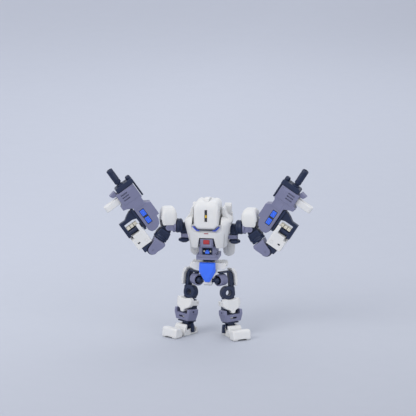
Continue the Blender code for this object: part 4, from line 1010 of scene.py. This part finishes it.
def receiver(limbs):
    below = [(37, 12.5), (37, 1.1), (30.4, 1.1), (29.6, -0.4), (27.6, -0.4), (27.2, 1.4), (25.6, 4.6)]
    rear = [(10.6, 4.6), (8.8, 5.7), (8.3, 7.8), (8.8, 9.8), (10.2, 11.6), (12.4, 12.7), (14.5, 12.9)]
    above = [(14.7, 14.6), (22.8, 14.6), (24.6, 11.8), (27.8, 11.8), (28.3, 12.5)]
    body = rounded(prism("Y", below + rear + above, (-3.1, 3.1)), 0.28)
    brow = prism("Y", [(37, 2.2), (39, 1.6), (38.2, -2), (36.4, -1), (35.9, 1.5)], (-1.6, 2.6))
    join(body, rounded(brow, 0.25))
    cut(body, block((31, 35.3), (-1.75, 3.05), (-3, 3.6)), block((12, 24), (-1.2, 1.2), (4, 5.2)))
    raised = []
    for face in (-1, 1):
        raised.append(block((11.4, 23.2), across(face, 2.9, 3.2), (4.95, 5.3)))
        panel = softened([(24.5, 6), (28.4, 6), (28.4, 10.2), (25.3, 10.2)], 0.4, 3)
        raised.append(prism("Y", panel, across(face, 2.9, 3.2)))
    details = []
    for face in (-1, 1):
        outside = across(face, 2.5, 5)
        skin = across(face, 3, 4)
        details += [block((13.3, 22.5), outside, (6.2, 9.3))]
        details += [prism("Y", softened([(x, 3.1), (x + 0.75, 3.1), (x + 0.75, 7.2), (x, 7.2)], 0.3, 3),
                          outside) for x in (31.4, 33, 34.6)]
        details += [block((23.6, 23.72), skin, (5.4, 11.6)), block((29.3, 29.42), skin, (1.8, 12))]
        details += [rod("Y", at, 0.3, skin, 20) for at in ((35.9, 11.2), (30.3, 2.1))]
    details += [block((x, x + 0.5), (-4, 4), (14.4, 15)) for x in (16, 17.5, 19, 20.5)]
    limbs.place(body, "gun_receiver_skin", "grey", "gun", "elbow", "gun_receiver", details=details,
                raised=raised)


def lenses(limbs):
    backs, lamps = [], []
    for face in (-1, 1):
        backs.append(block((13.34, 22.46), across(face, 2.52, 2.85), (6.24, 9.26)))
        for low in (13.75, 18.55):
            lamp = rounded(block((low, low + 3.5), across(face, 2.6, 3.3), (6.5, 9)), 0.15)
            groove = cut(block((low + 0.7, low + 2.8), across(face, 3.15, 4), (7.1, 8.4)),
                         block((low + 0.95, low + 2.55), across(face, 2, 5), (7.35, 8.15)))
            lamps.append(cut(lamp, groove))
    limbs.place(together(*backs), "lens_back", "eye", "gun", "elbow")
    limbs.place(together(*lamps), "lens_pair", "lens", "gun", "elbow", "gun_lens")


def muzzle(limbs):
    outline = [(37.3, 2.6), (39.4, 2.6), (40, 3.4), (40, 13), (39.4, 13.8), (37.3, 13.8)]
    plate = rounded(prism("Y", outline, (-3.3, 3.3)), 0.22)
    rail = rounded(block((28.2, 38), (-1.5, 1.5), (12.8, 13.8)), 0.15)
    lamp = turned("X", (0, 12.2), [(1.5, 38.5), (1.5, 40.9), (1.35, 41.5), (0.95, 41.9), (0, 42)], FINE)
    sleeve = [(1.2, 41.3), (1.7, 41.4), (1.85, 41.7), (1.85, 43), (1.7, 43.1), (1.7, 43.4), (1.85, 43.5)]
    sleeve += [(1.85, 48.2), (1.72, 48.3), (1.72, 48.5), (1.85, 48.6), (1.85, 49.9), (1.55, SLEEVE_END)]
    root = turned("X", (0, BORE_Z), [(2.2, 39.6), (2.2, 40.3), (1.9, 40.6)])
    join(plate, rail, rod("X", (0, BORE_Z), 1.25, (39.5, 42)), root, turned("X", (0, BORE_Z), sleeve))
    join(plate, lamp)
    details = [rod("X", (0, BORE_Z), 1.05, (SLEEVE_END - 2.6, SLEEVE_END + 1))]
    details += [block((29.4 + i * 1.6, 29.9 + i * 1.6), (-3, 3), (13.5, 14.2)) for i in range(5)]
    details += [block((39.75, 41), (-2.4, 2.4), (z, z + 0.25)) for z in (9.4, 10.1)]
    limbs.place(plate, "gun_muzzle_skin", "dark", "gun", "elbow", "gun_muzzle", details=details)


def grip(limbs):
    inside = [(25.2, 4.3), (11.5, 4.3), (11.5, 2.9), (19.4, 2.9), (20.2, 0.6), (20.2, -4.9), (12.7, -4.9)]
    outside = [(12.7, -6.9), (22.2, -6.9), (22.2, -3), (23.6, -1), (24.9, 1.6)]
    guard = rounded(prism("Y", inside + outside, (-1.45, 1.45)), 0.22)
    strap = rounded(block((11.7, 25.4), (-2.3, 2.3), (2.9, 4.3)), 0.2)
    join(guard, rod("Z", (GRIP_X, 0), 1.45, (-5.6, 3.6), ROUND), strap,
         block((12.4, 23.6), (-0.9, 0.9), (4, 4.95)))
    details = [block(x, across(face, 1.33, 2), z) for face in (-1, 1)
               for x, z in (((20.9, 21.5), (-5.9, -2.8)), ((13.4, 19.6), (-6, -5.75)))]
    limbs.place(guard, "gun_grip_skin", "dark", "gun", "elbow", "gun_grip", details=details)
    limbs.place(limbs.cad("gun_magazine", "elbow"), "gun_magazine_skin", "white", "magazine", "elbow",
                "gun_magazine", 0.45, 4)


# ---------------------------------------------------------------- leg


def hip(limbs):
    hub = join(ball(1.75), rod("X", PIVOT, PIN, (-3.5, 0.5)))
    join(hub, turned_by(rod("Y", PIVOT, STUB_PIN, (0, 5.2)), "Z", -35))
    limbs.place(hub, "hip_hub_skin", "dark", "hip", "hip", "hip_hub")
    barrel = turned("Y", PIVOT, [(3, -BARREL_FRONT), (BARREL_RADIUS, 0.3 - BARREL_FRONT),
                                 (BARREL_RADIUS, -0.9), (3.18, -0.8), (3.18, -0.6), (BARREL_RADIUS, -0.5),
                                 (BARREL_RADIUS, BARREL_BACK - 0.4), (2.9, BARREL_BACK)])
    rounded(barrel, 0.12)
    cut(barrel, rod("Y", PIVOT, 2.5, (-6, -0.2), ROUND), rod("Y", PIVOT, STUB_PIN + RUNNING, (-6, 6)))
    cut(barrel, rod("Z", PIVOT, STUB_PIN + RUNNING, (1.9, 6)))
    limbs.place(barrel, "hip_barrel_skin", "grey", "hip_barrel", "barrel", "hip_barrel")
    liner = cut(rod("Y", PIVOT, 2.48, (-2.3, -0.22), ROUND), rod("Y", PIVOT, 2.2, (-6, -0.5), ROUND),
                rod("Y", PIVOT, STUB_PIN + RUNNING, (-6, 6)))
    limbs.place(liner, "hip_barrel_liner", "dark", "hip_barrel", "barrel")


def thigh(limbs):
    bar = [(BAR_IN, 3.6), (BAR_IN, -8.6), (BAR_OUT, -8.6), (BAR_OUT, 2.2)]
    hook = rounded(prism("Y", [(-1.3, 3.6), *bar, (5, 4.5), (-1.3, 4.5)], (-1.7, 1.7)), 0.2)
    disc = rounded(rod("Y", THIGH_HOLE, 3.9, (-2.4, 1.5), ROUND), 0.25)
    proud = BAR_OUT + 0.2
    corner = rounded(prism("Y", [(4.2, -4.6), (proud, -4.6), (proud, -9.4), (4.2, -10.9)], (-2.1, 1.3)),
                     0.25)
    tongue = block((LEG_AXIS_X - 1.6, LEG_AXIS_X + 1.6), (-1.8, 1.4), (-KNEE_DROP, -10))
    knuckle = rod("X", (0, -KNEE_DROP), 1.95, (LEG_AXIS_X - 1.6, LEG_AXIS_X + 1.6))
    fork = rounded(block((LEG_AXIS_X - 3.1, LEG_AXIS_X + 3.1), (-2.5, 1.3), (-11.05, -10)), 0.2)
    join(hook, disc, corner, tongue, knuckle, fork, rod("Z", PIVOT, STUB_PIN, (2.1, 4.2)))
    cut(hook, rod("Y", THIGH_HOLE, 1.6, (-6, 6)), rod("Y", THIGH_HOLE, 2.1, (-6, -2.05)))
    cut(hook, rod("X", (0, -KNEE_DROP), PIN + RUNNING, (-2, 8)))
    details = [block((BAR_IN + 0.5, BAR_OUT - 0.5), (-2, -1.5), (z - 1.3, z + 1)) for z in (0.9, -3.3)]
    limbs.place(hook, "thigh_skin", "dark", "thigh", "thigh", "thigh_frame", details=details)
    limbs.place(limbs.cad("hip_armor", "flap"), "hip_armor_skin", "white", "hip_plate", "flap",
                "hip_armor", 0.4, 4)


def shin(limbs):
    half = [(0, 2.2), (1.5, 2.3), (2.7, 2.8), (3.8, 3), (4.8, 2.7), (5.3, 1.6), (5.25, -0.9), (4.3, -2.3),
            (1.5, -3.7), (1, -5.2)]
    other = [(-x, z) for x, z in reversed(half[1:])]
    cap = prism("Y", softened(half + other, 0.45, 3), (-6.4, -2.8))
    for s in (1, -1):
        cut(cap, prism("Z", [(s * 2.2, -7), (s * 7, -7), (s * 7, -4.4)], (-7, 5)))
    rounded(cap, 0.45, 4)
    ears = [rounded(block(across(s, 3.95, 5.2), (-3.6, 1.6), (-1.3, 1.5)), 0.3) for s in (1, -1)]
    join(cap, *ears)
    dots = [rod("X", (0, 0.1), 0.5, across(s, 5.05, 6), DOT) for s in (1, -1)]
    limbs.place(cap, "knee_cap_skin", "white", "shin", "knee", "knee_cap", details=dots)
    core = rounded(block((-3.6, 3.6), (-2.4, 2.4), (-10.4, -3)), 0.2)
    ears = [rounded(lug("X", PIVOT, 2.05, 4, 270, (s - 0.75, s + 0.75)), 0.15) for s in (-2.8, 2.8)]
    forks = [rounded(lug("Y", (0, -ROLL_DROP), 1.6, 3.4, 90, (s - 0.6, s + 0.6)), 0.12)
             for s in (-2.4, 2.4)]
    join(core, *ears, rounded(block((-3.3, 3.3), (-5, 2.6), (-10.9, -10.3)), 0.12), *forks)
    join(core, rod("X", PIVOT, PIN, (-2.9, 2.9)), rod("Y", (0, -ROLL_DROP), ANKLE_PIN, (-2.5, 2.5)))
    limbs.place(core, "shin_core_skin", "dark", "shin", "knee", "shin_core")
    shin_guard(limbs)
    limbs.place(block((-1.7, 0.1), (-5, -3.2), (-8.15, -7.45)), "shin_peg", "white", "shin", "knee",
                edge=0.12)
    studs = together(*[rod("X", SHIN_STUD, 0.42, across(s, 5, 5.6), DOT) for s in (-1, 1)])
    limbs.place(studs, "shin_studs", "dark", "shin", "knee", edge=0.06)


def shin_guard(limbs):
    """The grey trough round the shin: rounded outside, notched above and slotted in front."""
    outline = [(-5.5, -3.4), (5.5, -3.4), (5.6, -6), (4.5, -10), (-4.5, -10), (-5.6, -6)]
    guard = prism("Y", outline, (-6.2, 1.4))
    cut(guard, prism("X", [(-7, -2), (-7, -12), (-5.2, -12), (-5.9, -7.6)], (-8, 8)))
    rounded(guard, 0.45, 4)
    cut(guard, block((-3.9, 3.9), (-2.7, 3), (-12, 0)))
    cut(guard, prism("Y", softened([(-4, 0), (-4, -5.9), (4, -5.9), (4, 0)], 0.5, 4), (-8, -2)))
    cut(guard, prism("Y", softened([(-2, -8.3), (2, -8.3), (2, -7.3), (-2, -7.3)], 0.35, 3), (-8, -2)))
    details = []
    for s in (-1, 1):
        details.append(block(across(s, 5.4, 6.2), (-4.4, 0.4), (-6.15, -6.03)))
        details.append(rod("X", SHIN_STUD, 0.6, across(s, 5.15, 6.4), DOT))
    limbs.place(guard, "shin_armor_skin", "grey", "shin", "knee", "shin_armor", details=details)


def ankle(limbs):
    drop = 2.3
    cross = rod("Y", PIVOT, 1.5, (-1.5, 1.5))
    join(cross, block((-1.5, 1.5), (-1.1, 1.1), (-drop - 0.6, 0)), rod("X", (0, -drop), 1.15, (-1.5, 1.5)))
    join(cross, rod("X", (0, -drop), ANKLE_PIN, (-4.2, 3.2)))
    bar = [(-1.9, 2), (-0.5, 2), (0.2, 0.9), (1.1, -drop - 0.7), (-0.9, -drop - 0.7), (-1.5, -0.6)]
    hook = rounded(prism("X", softened(bar, 0.5, 3), (-4.85, -3.75)), 0.15)
    join(cross, hook)
    cut(cross, rod("Y", PIVOT, ANKLE_PIN + RUNNING, (-3, 3)))
    limbs.place(cross, "ankle_skin", "dark", "ankle", "ankle", "ankle_bracket")


def foot(limbs):
    low = -SOLE_DROP
    deep = low + 0.3
    plan = softened([(-3.4, -6.6), (4.4, -6.6), (4.6, 3.6), (3.4, 5.6), (-2.4, 5.6), (-3.4, 3.6)], 0.6, 3)
    sole = rounded(prism("Z", plan, (low, low + 0.85)), 0.2)
    side_plate = [(-6, deep), (-5.2, 1.2), (-2.6, 3.8), (2.4, 4), (3.6, 2.6), (4.2, deep)]
    outer = prism("X", softened(side_plate, 0.7, 4), (1.95, 4.5))
    inner = prism("X", [(-5.6, deep), (-4.4, 1), (2, 1.3), (3.4, deep)], (-3.35, -1.95))
    heel = prism("X", softened([(4.2, deep), (4.2, 0.7), (5, 1.4), (5.8, 0.6), (5.9, deep)], 0.3, 3),
                 (-2.6, 3.6))
    front = [(-6.6, deep), (-6.5, 0.2), (-5.5, 3.2), (-4.6, 4.1), (-3.6, 4.1), (-3.6, 3), (-4.4, deep)]
    guard = prism("X", softened(front, 0.4, 3), (-3.6, 4.3))
    join(sole, *[rounded(part, size) for part,
                 size in ((outer, 0.5), (inner, 0.25), (heel, 0.3), (guard, 0.4))])
    cut(sole, rod("X", PIVOT, ANKLE_PIN + RUNNING, (-6, 3.6)))
    for s in (-2.5, 2.5):
        join(sole, lug("X", (TOE_PIN[0], low + TOE_PIN[1]), 0.85, 1.6, 0, (s - 0.1, s + 1.1)))
    join(sole, rod("X", (TOE_PIN[0], low + TOE_PIN[1]), 0.45, (-2.1, 3.1)))
    limbs.place(sole, "foot_skin", "white", "foot", "foot", "foot_body")
    low = -TOE_PIN[1]
    profile = [(-6.6, low), (-6.9, low + 1.2), (-6.3, low + 5), (-5.4, low + 5.7)]
    profile += [(-2, low + 5.3), (-1.25, low + 4.4), (-1.25, low)]
    toe = rounded(prism("X", softened(profile, 0.8, 4), (-5.3, 5.3)), 0.7, 4)
    join(toe, lug("X", PIVOT, 0.95, 2, 180, (-1.55, 1.55)))
    outline = [(-3.6, low - 1), (3.6, low - 1), (2.4, low + 0.9), (-2.4, low + 0.9)]
    cut(toe, prism("Y", softened(outline, 0.4, 3), (-9, -2.2)), rod("X", PIVOT, 0.65, (-3, 3)))
    seam = block((-6, 6), (-7.2, -6.68), (low + 2.6, low + 2.72))
    limbs.place(toe, "toe_skin", "white", "toe", "toe", "foot_toe", details=[seam])


# ---------------------------------------------------------------- studio

VIEW_AZIMUTH = 9.0  # degrees to the robot's left of straight ahead
VIEW_ELEVATION = 11.0
VIEW_WIDTH = 0.2288  # metres across the picture at the robot
VIEW_TARGET = (-0.001, 0.0, 0.0712)
VIEW_LENS = 200.0
VIEW_CLIP = (0.01, 50.0)
SENSOR = 36.0
FLOOR_RINGS = (0.3, 1.0, 2.5, 6.0)
LIGHT_TARGET = (0.0, 0.0, 0.05)
LIGHTS = {  # place, size, watts, colour
    "key": ((-0.6, -0.85, 0.75), 0.8, 5.9, (1.0, 0.985, 0.96)),
    "fill": ((0.9, -0.7, 0.4), 1.0, 2.6, (0.95, 0.97, 1.0)),
    "back": ((0.1, 0.9, 0.9), 0.8, 2.2, (0.95, 0.97, 1.0)),
}
SKY = (0.91, 0.935, 1.0, 1.0)
SKY_STRENGTH = 0.89


def aim(thing, target):
    thing.rotation_mode = "QUATERNION"
    thing.rotation_quaternion = (Vector(target) - thing.location).to_track_quat("-Z", "Y")


def make_camera():
    data = bpy.data.cameras.new("camera")
    camera = bpy.data.objects.new("camera", data)
    bpy.context.scene.collection.objects.link(camera)
    data.lens = VIEW_LENS
    data.sensor_width = SENSOR
    distance = VIEW_WIDTH * VIEW_LENS / SENSOR
    a, e = math.radians(VIEW_AZIMUTH), math.radians(VIEW_ELEVATION)
    back = Vector((math.sin(a) * math.cos(e), -math.cos(a) * math.cos(e), math.sin(e)))
    target = Vector(VIEW_TARGET)
    camera.location = target + back * distance
    aim(camera, target)
    data.clip_start, data.clip_end = VIEW_CLIP
    bpy.context.scene.camera = camera


def area_light(name, at, size, watts, colour):
    data = bpy.data.lights.new(name, "AREA")
    data.shape = "DISK"
    data.size = size
    data.energy = watts
    data.color = colour
    lamp = bpy.data.objects.new(name, data)
    bpy.context.scene.collection.objects.link(lamp)
    lamp.location = at
    aim(lamp, LIGHT_TARGET)


def make_studio():
    bm = bmesh.new()
    loops = [[bm.verts.new((x, y, 0.0)) for x, y in circle(PIVOT, r, ROUND)] for r in FLOOR_RINGS]
    bm.faces.new(loops[0])
    for low, high in zip(loops, loops[1:]):
        for i in range(ROUND):
            j = (i + 1) % ROUND
            bm.faces.new((low[i], low[j], high[j], high[i]))
    floor = shape_from(bm)
    floor.name = "studio_floor"
    floor.data.transform(Matrix.Translation((0.0, 0.0, cad_low.z)))
    if floor.data.polygons[0].normal.z < 0:
        floor.data.flip_normals()
    floor.data.materials.append(floor_material())
    for name, light in LIGHTS.items():
        area_light(name, *light)
    world = bpy.data.worlds.new("studio")
    bpy.context.scene.world = world
    world.use_nodes = True
    background = world.node_tree.nodes["Background"]
    background.inputs["Color"].default_value = SKY
    background.inputs["Strength"].default_value = SKY_STRENGTH
    bpy.context.scene.view_settings.view_transform = "Standard"


# ---------------------------------------------------------------- assembly


def build_robot():
    for make in (pelvis, waist, belly, torso_front, torso_back, cockpit, canopy, chin, boosters):
        make()
    for label in SIDES:
        limbs = Limbs(label)
        for make in (booster_pod, shoulder, bracket, arm, forearm, hand, receiver, lenses, muzzle, grip,
                     hip, thigh, shin, ankle, foot):
            make(limbs)


build_robot()
make_studio()
make_camera()
